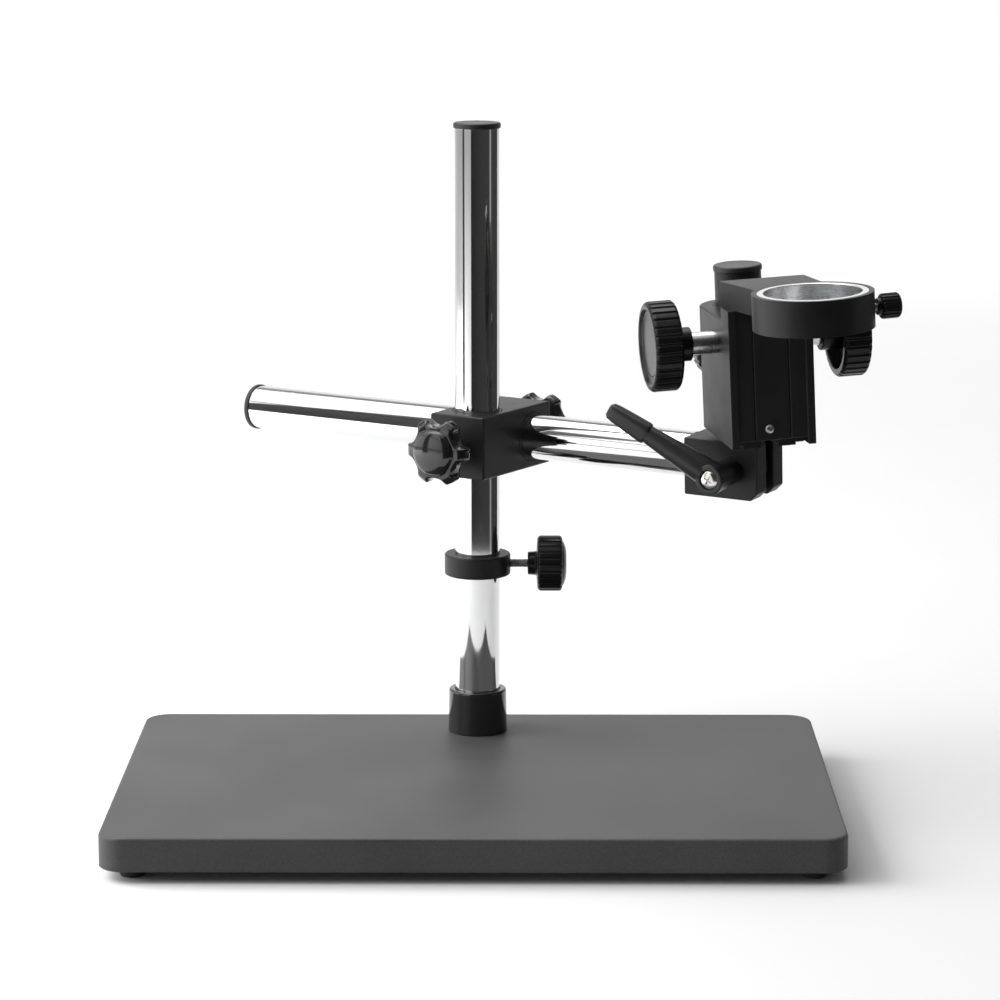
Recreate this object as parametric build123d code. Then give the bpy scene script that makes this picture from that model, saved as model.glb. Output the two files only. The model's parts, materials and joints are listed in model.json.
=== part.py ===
from build123d import *
import math
import os

# Sizes in millimetres. +Z is up, +X runs along the long side of the base, +Y points to its back edge.
# The origin is on the table, under the middle of the whole stand, this far from the middle of the base.
origin_x = 13.4
origin_y = 47.0

# base
base_width = 380.0
base_depth = 250.0
base_thickness = 18.0
base_corner_radius = 13.0
base_edge_round = 1.6
foot_height = 6.0
foot_radius = 6.5
foot_inset = 16.5
foot_screw_radius = 2.0
foot_screw_head_radius = 3.6
foot_recess = 2.6

# column
tube_radius = 12.5
tube_wall = 2.0
column_back = 90.0
column_top = 363.0
ferrule_height = 24.5
ferrule_top_radius = 16.1
ferrule_foot_radius = 16.6
plug_length = 34.0
column_screw_radius = 4.0
column_screw_head_radius = 6.5
column_screw_head_height = 7.0
cap_flange_radius = 13.1
cap_flange_height = 3.0
cap_skirt_length = 12.0

# fits and gaps
seat_gap = 0.3
running_gap = 0.05
thread_gap = 0.05
liner_wall = 1.0

# safety collar
collar_height = 12.0
collar_bottom = 114.0
collar_radius = 18.4
collar_bore_gap = 0.08
thumb_stud_radius = 2.5
thumb_stud_bare = 9.6
thumb_hub_radius = 6.4
thumb_hub_length = 5.4
thumb_knob_radius = 15.5
thumb_knob_length = 14.0
thumb_dome_height = 2.4
thumb_rib_count = 26
thumb_groove_radius = 0.9

# cross block and its star knobs
boom_height = 189.2
boom_swing = 32.15
bore_web = 2.8
block_width = 35.0
block_back = 19.0
block_height = 35.0
block_front = 21.0
block_edge_round = 1.2
pad_radius = 3.6
pad_thickness = 2.0
star_stud_radius = 3.0
star_boss_radius = 8.0
star_boss_length = 9.0
star_stand_off = 4.5
star_radius = 18.8
star_thickness = 10.0
star_lobe_count = 6
star_turn = 30.0
star_scallop_radius = 8.0
star_scallop_reach = 22.6
star_dome_radius = 12.6
star_dome_height = 4.6

# boom
boom_left = -171.4
boom_right = 123.0
boom_roll = 3.0

# tilt block on the end of the boom
tilt_block_length = 44.5
tilt_block_depth = 30.0
tilt_block_below = 19.0
tilt_block_above = 12.5
tilt_block_chamfer = 4.0
tilt_block_top_chamfer = 2.0
spigot_length = 24.0
tilt_reach = 152.0
tilt_drop = 3.2
clevis_slot = 8.0
clevis_slot_left = 14.0
tilt_bolt_radius = 4.0
nut_radius = 7.4
nut_height = 6.4

# clamp lever
lever_hub_radius = 8.2
lever_hub_tip_radius = 7.0
lever_hub_length = 25.0
lever_reach = 74.0
lever_rise = 30.7
lever_splay = 10.0
lever_insert_radius = 4.9
lever_screw_radius = 2.5
lever_screw_head_radius = 4.9
lever_screw_head_height = 2.2
lever_screw_proud = 0.8
lever_bore_radius = 5.3
spring_wire_radius = 0.45
spring_turns = 4
spring_pitch = 1.7

# head post
head_tilt = 1.5
head_swivel = 42.35
post_radius = 12.5
post_foot = 21.2
post_top = 106.7
tongue_radius = 11.9

# focus body
body_bottom = 21.5
body_top = 88.3
body_radius = 21.0
way_top = 80.0
body_half_width = 20.5
body_front = 52.1
way_length = 6.0
way_root_half = 11.0
way_tip_half = 14.0
lock_height = 55.0

# rack and pinion
shaft_radius = 4.0
shaft_forward = 32.7
shaft_height = 74.7
gear_module = 1.0
pinion_teeth = 18
pinion_width = 12.0
rack_teeth_count = 20
pressure_angle = 20.0
mesh_backlash = 0.16
tooth_height_factor = 0.9
tooth_root_factor = 1.2
bush_radius = 6.0
rack_half_width = 4.0
rack_key_depth = 1.5
rack_screw_radius = 1.5
rack_screw_head_radius = 2.4
rack_screw_head_height = 1.5
rack_screw_inset = 6.0
rack_screw_x = -2.0

# focus knobs
focus_knob_radius = 23.8
focus_knob_length = 15.0
focus_knob_reach = 57.8
focus_rib_count = 32
focus_groove_radius = 1.1
focus_face_radius = 19.6
focus_face_depth = 1.6
focus_boss_radius = 9.0
focus_boss_length = 8.0
focus_boss_gap = 0.5
focus_hollow_radius = 19.4
focus_hollow_depth = 9.0
grub_radius = 1.5

# slider
slider_front = 68.6
slider_half_width = 22.4
slider_bottom = 27.0
slider_top = 96.3
slider_cheek = 4.0
slider_cheek_drop = 3.5
slider_cheek_step = 1.4
slider_groove_width = 1.0

# ring arm
arm_top = 109.9
arm_tenon_half = 12.0
arm_tenon_height = 8.0
arm_tenon_thickness = 7.0
arm_tenon_back = 58.0
arm_screw_x = 7.0
arm_screw_radius = 2.0
arm_screw_head_radius = 3.5
arm_screw_head_height = 3.0
ring_centre_x = 12.9
ring_stand_off = 6.7
ring_wall = 2.6
ring_height = 18.5
ring_bore_radius = 25.0
ring_sleeve_wall = 3.4
ring_stud_radius = 2.0
ring_stud_bare = 2.6
ring_knob_radius = 6.5
ring_knob_length = 12.0
ring_rib_count = 18
ring_groove_radius = 0.7
ring_screw_turn = 4.0
ring_screw_drop = 1.5

base_top = foot_height + base_thickness
tube_bore = tube_radius - tube_wall
liner_inner = tube_radius + running_gap
liner_outer = liner_inner + liner_wall
liner_bore = liner_outer + running_gap
bore_spacing = 2 * liner_bore + bore_web
block_length = block_front + bore_spacing + block_back
post_liner_inner = post_radius + running_gap
post_liner_outer = post_liner_inner + liner_wall
ring_sleeve_radius = ring_bore_radius + ring_sleeve_wall
ring_radius = ring_sleeve_radius + ring_wall
ring_forward = slider_front + ring_stand_off + ring_radius
gear_pitch_radius = gear_module * pinion_teeth / 2
rack_pitch_y = -(shaft_forward + gear_pitch_radius)
up = (Align.CENTER, Align.CENTER, Align.MIN)

boom_frame = Pos(0, column_back, boom_height) * Rot(0, 0, -boom_swing)
end_frame = boom_frame * Pos(0, bore_spacing, 0) * Rot(boom_roll, 0, 0)
tilt_frame = end_frame * Pos(tilt_reach, 0, -tilt_drop)
head_frame = tilt_frame * Rot(0, -head_tilt, 0) * Rot(0, 0, head_swivel)


def rod(radius, start, end):
    return Pos(0, 0, start) * Cylinder(radius, end - start, align=up)


def pipe(outer, inner, start, end):
    return rod(outer, start, end) - rod(inner, start - 1, end + 1)


def block(x0, x1, y0, y1, z0, z1):
    middle = ((x0 + x1) / 2, (y0 + y1) / 2, (z0 + z1) / 2)
    return Pos(*middle) * Box(x1 - x0, y1 - y0, z1 - z0)


def along_x(shape):
    return Rot(0, 90, 0) * shape


def along_minus_y(shape):
    return Rot(90, 0, 0) * shape


def along_plus_y(shape):
    return Rot(-90, 0, 0) * shape


def ribbed(radius, length, count, groove):
    body = rod(radius, 0, length)
    body = chamfer(body.edges().filter_by(GeomType.CIRCLE), 0.8)
    for turn in range(count):
        cut = Pos(radius + groove * 0.35, 0, -1) * Cylinder(groove, length + 2, align=up)
        body -= Rot(0, 0, turn * 360 / count) * cut
    return body


def foot_places():
    x = base_width / 2 - foot_inset
    y = base_depth / 2 - foot_inset
    return [(x, y), (-x, y), (-x, -y), (x, -y)]


def base_plate():
    outline = RectangleRounded(base_width, base_depth, base_corner_radius)
    plate = Pos(0, 0, foot_height) * extrude(outline, base_thickness)
    plate = fillet(plate.faces().sort_by(Axis.Z)[-1].edges(), base_edge_round)
    head_room = column_screw_head_height + 1.0
    hole = rod(column_screw_radius + seat_gap, 0, base_top + 1)
    recess = rod(column_screw_head_radius + 1.0, 0, foot_height + head_room)
    plate -= Pos(0, column_back, 0) * (hole + recess)
    for x, y in foot_places():
        plate -= Pos(x, y, 0) * rod(foot_screw_radius + thread_gap, 0, foot_height + 9)
    return plate


def feet():
    foot = rod(foot_radius, 0, foot_height)
    foot = fillet(foot.edges().sort_by(Axis.Z)[:1], 1.0)
    foot -= rod(foot_screw_head_radius + 0.2, -1, foot_recess)
    foot -= rod(foot_screw_radius + 0.1, -1, foot_height + 1)
    return Compound([Pos(x, y, 0) * foot for x, y in foot_places()])


def foot_screws():
    screw = rod(foot_screw_head_radius, foot_recess - 1.8, foot_recess)
    screw += rod(foot_screw_radius, foot_recess, foot_height + 8)
    return Compound([Pos(x, y, 0) * screw for x, y in foot_places()])


def ferrule():
    cone = Pos(0, 0, base_top) * Cone(ferrule_foot_radius, ferrule_top_radius, ferrule_height, align=up)
    cone = fillet(cone.edges().sort_by(Axis.Z)[-1:], 1.2)
    cone -= rod(tube_radius + thread_gap, base_top - 1, base_top + ferrule_height + 1)
    return Pos(0, column_back, 0) * cone


def column_tube():
    return Pos(0, column_back, 0) * pipe(tube_radius, tube_bore, base_top, column_top)


def column_plug():
    plug = rod(tube_bore - thread_gap, base_top, base_top + plug_length)
    plug -= rod(column_screw_radius + thread_gap, base_top - 1, base_top + plug_length - 6)
    return Pos(0, column_back, 0) * plug


def column_screw():
    head_top = foot_height + column_screw_head_height + 1.0
    head = rod(column_screw_head_radius, head_top - column_screw_head_height, head_top)
    socket = extrude(RegularPolygon(3.0, 6), 4.0)
    head -= Pos(0, 0, head_top - column_screw_head_height - 0.01) * socket
    screw = head + rod(column_screw_radius, head_top, base_top + 22)
    return Pos(0, column_back, 0) * screw


def tube_cap():
    flange = rod(cap_flange_radius, 0, cap_flange_height)
    flange = fillet(flange.edges().sort_by(Axis.Z)[-1:], 0.9)
    return flange + pipe(tube_bore - thread_gap, tube_bore - 2.0, -cap_skirt_length, 0)


def column_cap():
    return Pos(0, column_back, column_top) * tube_cap()


def safety_collar():
    ring = pipe(collar_radius, tube_radius + collar_bore_gap, 0, collar_height)
    outer = ring.edges().filter_by(GeomType.CIRCLE).filter_by(lambda e: e.radius > collar_radius - 0.1)
    ring = fillet(outer, 1.2)
    hole = Pos(0, 0, collar_height / 2) * along_x(rod(thumb_stud_radius + thread_gap, 0, collar_radius + 2))
    return Pos(0, column_back, collar_bottom) * (ring - hole)


def thumb_stud(tip, seat):
    stud = rod(thumb_stud_radius, tip, seat + thumb_stud_bare + thumb_hub_length + 6)
    return chamfer(stud.edges().sort_by(Axis.Z)[:1], 0.6)


def thumb_knob(seat):
    hub_start = seat + thumb_stud_bare
    head_start = hub_start + thumb_hub_length
    head = ribbed(thumb_knob_radius, thumb_knob_length, thumb_rib_count, thumb_groove_radius)
    dome = Pos(0, 0, thumb_knob_length) * Cone(thumb_knob_radius - 3.4, thumb_knob_radius - 7, thumb_dome_height,
                                               align=up)
    knob = rod(thumb_hub_radius, hub_start, head_start + 0.5) + Pos(0, 0, head_start) * (head + dome)
    return knob - rod(thumb_stud_radius + thread_gap, hub_start - 1, head_start + 6.2)


def collar_screw_frame():
    return Pos(0, column_back, collar_bottom + collar_height / 2) * Rot(0, 90, 0)


def collar_stud():
    return collar_screw_frame() * thumb_stud(tube_radius + seat_gap, collar_radius)


def collar_knob():
    return collar_screw_frame() * thumb_knob(collar_radius)


def column_liner():
    return boom_frame * pipe(liner_outer, liner_inner, -block_height / 2, block_height / 2)


def boom_liner():
    sleeve = pipe(liner_outer, liner_inner, -block_width / 2, block_width / 2)
    return boom_frame * Pos(0, bore_spacing, 0) * along_x(sleeve)


def cross_block():
    body = block(-block_width / 2, block_width / 2, -block_front, block_length - block_front,
                 -block_height / 2, block_height / 2)
    body = fillet(body.edges(), block_edge_round)
    body -= rod(liner_bore, -block_height, block_height)
    body -= Pos(0, bore_spacing, 0) * along_x(rod(liner_bore, -block_width, block_width))
    stud_hole = rod(star_stud_radius + thread_gap, 0, block_length)
    pad_hole = rod(pad_radius + thread_gap, 0, liner_outer + pad_thickness + 2.0)
    body -= along_minus_y(stud_hole + pad_hole)
    body -= Pos(0, bore_spacing, 0) * along_plus_y(stud_hole + pad_hole)
    return boom_frame * body


def clamp_pad():
    pad = rod(pad_radius, liner_inner + 0.3, liner_outer + pad_thickness + 0.6)
    return pad - along_x(rod(liner_outer + 0.1, -10, 10))


def column_pad():
    return column_clamp_frame() * Rot(0, 0, 90) * clamp_pad()


def boom_pad():
    return boom_clamp_frame() * clamp_pad()


def star_stud(seat):
    start = liner_outer + pad_thickness + 0.65
    stud = rod(star_stud_radius, start, seat + star_stand_off + star_boss_length + 6)
    return chamfer(stud.edges().sort_by(Axis.Z)[:1], 0.6)


def star_outline():
    shape = Sketch() + Circle(star_radius)
    for lobe in range(star_lobe_count):
        turn = Rot(0, 0, star_turn + lobe * 360 / star_lobe_count)
        shape -= turn * Pos(star_scallop_reach, 0) * Circle(star_scallop_radius)
    return fillet(shape.vertices(), 2.4)


def star_knob(seat):
    boss_start = seat + star_stand_off
    head_start = boss_start + star_boss_length
    head = extrude(star_outline(), star_thickness)
    head = chamfer(head.faces().sort_by(Axis.Z)[-1].edges(), 1.0)
    dome = Pos(0, 0, star_thickness) * Cone(star_dome_radius, star_dome_radius * 0.55, star_dome_height, align=up)
    dome = fillet(dome.edges().sort_by(Axis.Z)[-1:], 3.5)
    knob = rod(star_boss_radius, boss_start, head_start + 0.5) + Pos(0, 0, head_start) * (head + dome)
    return knob - rod(star_stud_radius + thread_gap, boss_start - 1, head_start + 6.2)


def column_clamp_frame():
    return boom_frame * Rot(90, 0, 0)


def boom_clamp_frame():
    return boom_frame * Pos(0, bore_spacing, 0) * Rot(-90, 0, 0)


def boom_tube():
    return end_frame * along_x(pipe(tube_radius, tube_bore, boom_left, boom_right))


def boom_cap():
    return end_frame * Pos(boom_left, 0, 0) * Rot(0, -90, 0) * tube_cap()


def tilt_block():
    left = boom_right
    right = left + tilt_block_length
    half = tilt_block_depth / 2
    body = block(left, right, -half, half, -tilt_block_below, tilt_block_above)
    lower_right = body.edges().filter_by(Axis.Y).group_by(Axis.X)[-1].sort_by(Axis.Z)[0]
    body = chamfer(lower_right, tilt_block_chamfer)
    upper_right = body.edges().filter_by(Axis.Y).group_by(Axis.X)[-1].sort_by(Axis.Z)[-1]
    body = chamfer(upper_right, tilt_block_top_chamfer)
    body = fillet(body.edges().group_by(Axis.X)[0], 0.8)
    body += along_x(rod(tube_bore - thread_gap, left - spigot_length, left + 1))
    slot_half = clevis_slot / 2
    body -= block(left + clevis_slot_left, right + 1, -slot_half, slot_half, -tilt_block_below - 1,
                  tilt_block_above + 1)
    bolt_hole = rod(tilt_bolt_radius + running_gap, -tilt_block_depth, tilt_block_depth)
    body -= Pos(tilt_reach, 0, -tilt_drop) * along_minus_y(bolt_hole)
    return end_frame * body


def tilt_nut():
    nut = extrude(RegularPolygon(nut_radius, 6), nut_height)
    nut -= rod(tilt_bolt_radius + thread_gap, -1, nut_height + 1)
    return tilt_frame * Pos(0, tilt_block_depth / 2, 0) * along_plus_y(nut)


def lever_frame():
    return tilt_frame * Pos(0, -tilt_block_depth / 2 - seat_gap, 0) * Rot(90, 0, 0)


def lever_handle():
    hub = Cone(lever_hub_tip_radius, lever_hub_radius, lever_hub_length, align=up)
    hub = fillet(hub.edges().sort_by(Axis.Z)[-1:], 1.0)
    root = Pos(0, 0, lever_hub_length - 7.5)
    reach = lever_reach - 6
    arm_root = Plane(origin=(-2, 0, 0), x_dir=(0, 1, 0), z_dir=(-1, 0, 0))
    arm_waist = arm_root.offset(reach * 0.62)
    arm_grip = arm_root.offset(reach * 0.64)
    arm_tip = arm_root.offset(reach)
    shank = loft([arm_root * Ellipse(7.6, 7.0), arm_waist * Ellipse(4.9, 4.4)])
    grip = loft([arm_grip * RectangleRounded(11.4, 9.0, 3.4), arm_tip * RectangleRounded(9.6, 7.4, 3.0)])
    shank += extrude(arm_waist * Ellipse(4.9, 4.4), reach * 0.02)
    tilted = Rot(0, lever_splay, 0) * (shank + grip)
    handle = hub + root * tilted
    handle -= rod(lever_insert_radius + 0.1, -1, 12.1)
    handle -= rod(lever_screw_radius + 0.4, 0, lever_hub_length)
    handle -= rod(lever_bore_radius, 15.4, lever_hub_length + 10)
    return lever_frame() * Rot(0, 0, -lever_rise) * handle


def lever_insert():
    insert = rod(lever_insert_radius, 0.0, 12.0)
    insert += rod(tilt_bolt_radius, -tilt_block_depth - nut_height - 1.5, 0)
    insert -= rod(lever_screw_radius + thread_gap, 2, 13)
    return lever_frame() * insert


def lever_screw():
    head_base = lever_hub_length - lever_screw_head_height + lever_screw_proud
    head = rod(lever_screw_head_radius, head_base, head_base + lever_screw_head_height)
    head = fillet(head.edges().sort_by(Axis.Z)[-1:], 1.2)
    for turn in (0, 90):
        head -= Pos(0, 0, head_base + 1.0) * Rot(0, 0, turn) * Box(4.6, 1.0, 4, align=up)
    return lever_frame() * (head + rod(lever_screw_radius, 3.0, head_base))


def lever_spring():
    length = spring_pitch * spring_turns
    path = Helix(spring_pitch, length, 4.2)
    wire = sweep((path ^ 0) * Circle(spring_wire_radius), path=path)
    return lever_frame() * Pos(0, 0, 15.9) * wire


def head_post():
    post = rod(post_radius, post_foot, post_top)
    half = clevis_slot / 2 - seat_gap
    tongue = along_plus_y(Cylinder(tongue_radius, 2 * half))
    tongue += block(-tongue_radius, tongue_radius, -half, half, 0, post_foot + 1)
    tongue -= along_plus_y(Cylinder(tilt_bolt_radius + running_gap, 4 * half))
    post += Rot(0, 0, -head_swivel) * tongue
    return head_frame * post


def post_cap():
    cap = Pos(0, 0, post_top) * rod(cap_flange_radius, 0, cap_flange_height)
    return head_frame * fillet(cap.edges().sort_by(Axis.Z)[-1:], 0.9)


def post_liner():
    return head_frame * pipe(post_liner_outer, post_liner_inner, body_bottom, body_top)


def way_profile(grow):
    y = -body_front
    tip = y - way_length - grow
    points = [(-way_root_half - grow, y + 1), (-way_root_half - grow, y), (-way_tip_half - grow, tip),
              (way_tip_half + grow, tip), (way_root_half + grow, y), (way_root_half + grow, y + 1)]
    return make_face(Polyline(points, close=True))


def focus_body():
    body = rod(body_radius, body_bottom, body_top)
    body += block(-body_half_width, body_half_width, -body_front, 0, body_bottom, body_top)
    body = fillet(body.faces().sort_by(Axis.Z)[-1].edges(), 1.2)
    body += Pos(0, 0, body_bottom) * extrude(way_profile(0), way_top - body_bottom)
    body -= rod(post_liner_outer + running_gap, body_bottom - 1, body_top + 1)
    shaft_place = Pos(0, -shaft_forward, shaft_height)
    cavity_half = pinion_width / 2 + 1.5
    body -= shaft_place * along_x(rod(gear_pitch_radius + 2.3, -cavity_half, cavity_half))
    body -= shaft_place * along_x(rod(bush_radius + thread_gap, -body_radius - 1, body_radius + 1))
    rack_room = rack_half_width + 0.6
    body -= block(-rack_room, rack_room, -body_front - way_length - 1, -shaft_forward - gear_pitch_radius + 2,
                  body_bottom - 1, body_top + 1)
    body -= Pos(0, 0, lock_height) * along_plus_y(rod(thumb_stud_radius + thread_gap, 0, body_radius + 2))
    return head_frame * body


def shaft_frame():
    return head_frame * Pos(0, -shaft_forward, shaft_height) * Rot(0, 90, 0)


def shaft_bushes():
    inner = pinion_width / 2 + 1.5
    outer = focus_knob_reach - focus_knob_length - focus_boss_length - focus_boss_gap
    bush = pipe(bush_radius, shaft_radius + running_gap, inner, outer)
    return shaft_frame() * Compound([bush, Rot(180, 0, 0) * bush])


def involute_tooth_points():
    pitch = gear_pitch_radius
    base = pitch * math.cos(math.radians(pressure_angle))
    tip = pitch + gear_module * tooth_height_factor
    half_pitch_angle = (math.pi * gear_module / 2 - mesh_backlash) / pitch / 2
    involute_at_pitch = math.tan(math.radians(pressure_angle)) - math.radians(pressure_angle)
    flank = []
    for step in range(6):
        radius = base + (tip - base) * step / 5
        roll = math.acos(min(1.0, base / radius))
        angle = half_pitch_angle + involute_at_pitch - (math.tan(roll) - roll)
        flank.append((radius, angle))
    return flank


def pinion_shaft():
    flank = involute_tooth_points()
    root = gear_pitch_radius - gear_module * tooth_root_factor
    upper = [(r * math.cos(a), r * math.sin(a)) for r, a in flank]
    lower = [(x, -y) for x, y in reversed(upper)]
    foot = flank[0][1]
    inside = root - 0.5
    start = [(inside * math.cos(foot), -inside * math.sin(foot)), (inside * math.cos(foot), inside * math.sin(foot))]
    tooth = make_face(Polyline(start + upper + lower, close=True))
    profile = Sketch() + Circle(root)
    for number in range(pinion_teeth):
        profile += Rot(0, 0, 360 * number / pinion_teeth) * tooth
    gear = Pos(0, 0, -pinion_width / 2) * extrude(profile, pinion_width)
    reach = focus_knob_reach - 4
    shaft = gear + rod(shaft_radius, -reach, reach)
    turn = Rot(0, 0, -90)
    return shaft_frame() * turn * shaft


def focus_knob():
    inner = focus_knob_reach - focus_knob_length
    head = Pos(0, 0, inner) * ribbed(focus_knob_radius, focus_knob_length, focus_rib_count, focus_groove_radius)
    dish = Pos(0, 0, focus_knob_reach - focus_face_depth)
    head -= dish * Cone(focus_face_radius - 1.2, focus_face_radius + 0.6, focus_face_depth + 0.1, align=up)
    head -= rod(focus_hollow_radius, inner - 1, inner + focus_hollow_depth)
    head += rod(focus_boss_radius, inner - focus_boss_length, inner + focus_hollow_depth + 0.5)
    head -= rod(shaft_radius + thread_gap, 0, focus_knob_reach - 3.8)
    grub = Pos(0, 0, inner - focus_boss_length / 2) * along_x(rod(grub_radius + thread_gap, 0, focus_boss_radius + 1))
    return head - grub


def grub_screw():
    inner = focus_knob_reach - focus_knob_length
    screw = along_x(rod(grub_radius, shaft_radius + 0.1, focus_boss_radius - 0.6))
    return Pos(0, 0, inner - focus_boss_length / 2) * screw


def rack():
    pitch = math.pi * gear_module
    slope = math.tan(math.radians(pressure_angle))
    tip = gear_module * tooth_height_factor
    foot = gear_module * tooth_root_factor
    half_space = pitch / 4 + mesh_backlash / 4
    bottom = slider_bottom + 3
    top = slider_top
    floor = -(body_front + way_length + 2 * seat_gap + rack_key_depth)
    bar = block(-rack_half_width, rack_half_width, floor, rack_pitch_y + tip, bottom, top)
    cut = []
    for side in (1, -1):
        near = half_space - foot * slope
        far = half_space + (tip + 0.5) * slope
        edge = [(rack_pitch_y - foot, side * near), (rack_pitch_y + tip + 0.5, side * far)]
        cut += edge if side == 1 else reversed(edge)
    space_face = Plane.YZ * make_face(Polyline(cut, close=True))
    space = extrude(space_face, rack_half_width + 1, both=True)
    for number in range(-rack_teeth_count, rack_teeth_count + 1):
        height = shaft_height + number * pitch
        if bottom - pitch < height < top + pitch:
            bar -= Pos(0, 0, height) * space
    for height in rack_screw_heights():
        bar -= Pos(rack_screw_x, 0, height) * along_minus_y(rod(rack_screw_radius + thread_gap, 50, slider_front))
    return head_frame * bar


def rack_screw_heights():
    return [slider_bottom + rack_screw_inset, slider_top - rack_screw_inset]


def slider():
    back = -(body_front + seat_gap)
    front = -slider_front
    face = front + slider_cheek_step
    plate = block(-slider_half_width, slider_half_width, face, back, slider_bottom, slider_top)
    for side in (-1, 1):
        outer = side * slider_half_width
        inner = side * (slider_half_width - slider_cheek)
        plate += block(min(outer, inner), max(outer, inner), front, back, slider_bottom - slider_cheek_drop, slider_top)
    for x in (-9.4, 9.4):
        half = slider_groove_width / 2
        plate -= block(x - half, x + half, front, face + 0.7, 0, slider_top + 1)
    tenon_front = -(arm_tenon_back + arm_tenon_thickness)
    plate += block(-arm_tenon_half, arm_tenon_half, tenon_front, -arm_tenon_back, slider_top - 4,
                   slider_top + arm_tenon_height)
    plate -= Pos(0, 0, slider_bottom - 10) * extrude(way_profile(seat_gap), slider_top - slider_bottom + 10.01)
    key_floor = -(body_front + way_length + 2 * seat_gap + rack_key_depth)
    key_half = rack_half_width + thread_gap
    plate -= block(-key_half, key_half, key_floor - thread_gap, back, slider_bottom - 1, slider_top + 0.01)
    for height in rack_screw_heights():
        plate -= Pos(rack_screw_x, 0, height) * along_minus_y(rod(rack_screw_radius + thread_gap, 50, slider_front + 1))
    for x in (-arm_screw_x, arm_screw_x):
        hole = along_minus_y(rod(arm_screw_radius + thread_gap, arm_tenon_back - 1, arm_tenon_back + 5))
        plate -= Pos(x, 0, slider_top + arm_tenon_height / 2) * hole
    return head_frame * plate


def rack_screws():
    face = slider_front - slider_cheek_step
    screw = rod(rack_screw_head_radius, face, face + rack_screw_head_height)
    screw = fillet(screw.edges().sort_by(Axis.Z)[-1:], 0.8)
    screw -= Pos(0, 0, face + 0.7) * Box(3.4, 0.6, 3, align=up)
    screw -= Pos(0, 0, face + 0.7) * Box(0.6, 3.4, 3, align=up)
    screw += rod(rack_screw_radius, face - 14, face + 0.1)
    screw = along_minus_y(screw)
    return head_frame * Compound([Pos(rack_screw_x, 0, height) * screw for height in rack_screw_heights()])


def ring_centre():
    return Pos(ring_centre_x, -ring_forward, 0)


def ring_arm():
    back = -(body_front + seat_gap)
    half = slider_half_width
    left_meet = (ring_centre_x - ring_radius * 0.83, -ring_forward + ring_radius * 0.55)
    right_meet = (ring_centre_x + ring_radius * 0.39, -ring_forward + ring_radius * 0.92)
    outline = [(-half, back), left_meet, (ring_centre_x, -ring_forward), right_meet, (half, back)]
    arm = Pos(0, 0, slider_top) * extrude(make_face(Polyline(outline, close=True)), arm_top - slider_top)
    arm += ring_centre() * rod(ring_radius, arm_top - ring_height, arm_top)
    arm = chamfer(arm.faces().sort_by(Axis.Z)[-1].outer_wire().edges(), 0.5)
    arm -= ring_centre() * rod(ring_sleeve_radius + thread_gap, arm_top - ring_height - 1, arm_top + 1)
    tenon_half = arm_tenon_half + thread_gap
    tenon_front = -(arm_tenon_back + arm_tenon_thickness + thread_gap)
    arm -= block(-tenon_half, tenon_half, tenon_front, -arm_tenon_back + thread_gap, slider_top - 1,
                 slider_top + arm_tenon_height + thread_gap)
    for x in (-arm_screw_x, arm_screw_x):
        hole = rod(arm_screw_radius + thread_gap, body_front, arm_tenon_back + 1)
        hole += rod(arm_screw_head_radius + 0.2, body_front, body_front + seat_gap + arm_screw_head_height)
        arm -= Pos(x, 0, slider_top + arm_tenon_height / 2) * along_minus_y(hole)
    arm -= ring_screw_place() * rod(ring_stud_radius + thread_gap, ring_sleeve_radius - 2, ring_radius + 1)
    return head_frame * arm


def ring_sleeve():
    sleeve = ring_centre() * pipe(ring_sleeve_radius, ring_bore_radius, arm_top - ring_height, arm_top)
    sleeve -= ring_screw_place() * rod(ring_stud_radius + thread_gap, ring_bore_radius - 2, ring_sleeve_radius + 2)
    return head_frame * sleeve


def arm_screws():
    start = body_front + seat_gap
    head = rod(arm_screw_head_radius, start, start + arm_screw_head_height - 0.05)
    head -= Pos(0, 0, start - 0.01) * extrude(RegularPolygon(1.7, 6), 1.6)
    screw = head + rod(arm_screw_radius, start + arm_screw_head_height - 0.1, arm_tenon_back + 4.5)
    screw = along_minus_y(screw)
    height = slider_top + arm_tenon_height / 2
    return head_frame * Compound([Pos(x, 0, height) * screw for x in (-arm_screw_x, arm_screw_x)])


def ring_screw_place():
    middle = Pos(ring_centre_x, -ring_forward, arm_top - ring_height / 2 - ring_screw_drop)
    return middle * Rot(0, 0, ring_screw_turn) * Rot(0, 90, 0)


def ring_stud():
    stud = rod(ring_stud_radius, ring_bore_radius + seat_gap, ring_radius + ring_stud_bare + 6)
    stud = chamfer(stud.edges().sort_by(Axis.Z)[:1], 0.5)
    return head_frame * ring_screw_place() * stud


def ring_knob():
    start = ring_radius + ring_stud_bare
    neck = rod(ring_knob_radius - 2.2, start, start + 2.2)
    head = Pos(0, 0, start + 2) * ribbed(ring_knob_radius, ring_knob_length - 2, ring_rib_count, ring_groove_radius)
    knob = neck + head - rod(ring_stud_radius + thread_gap, start - 1, start + 6.2)
    return head_frame * ring_screw_place() * knob


def lock_frame():
    return head_frame * Pos(0, 0, lock_height) * Rot(-90, 0, 0)


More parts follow.
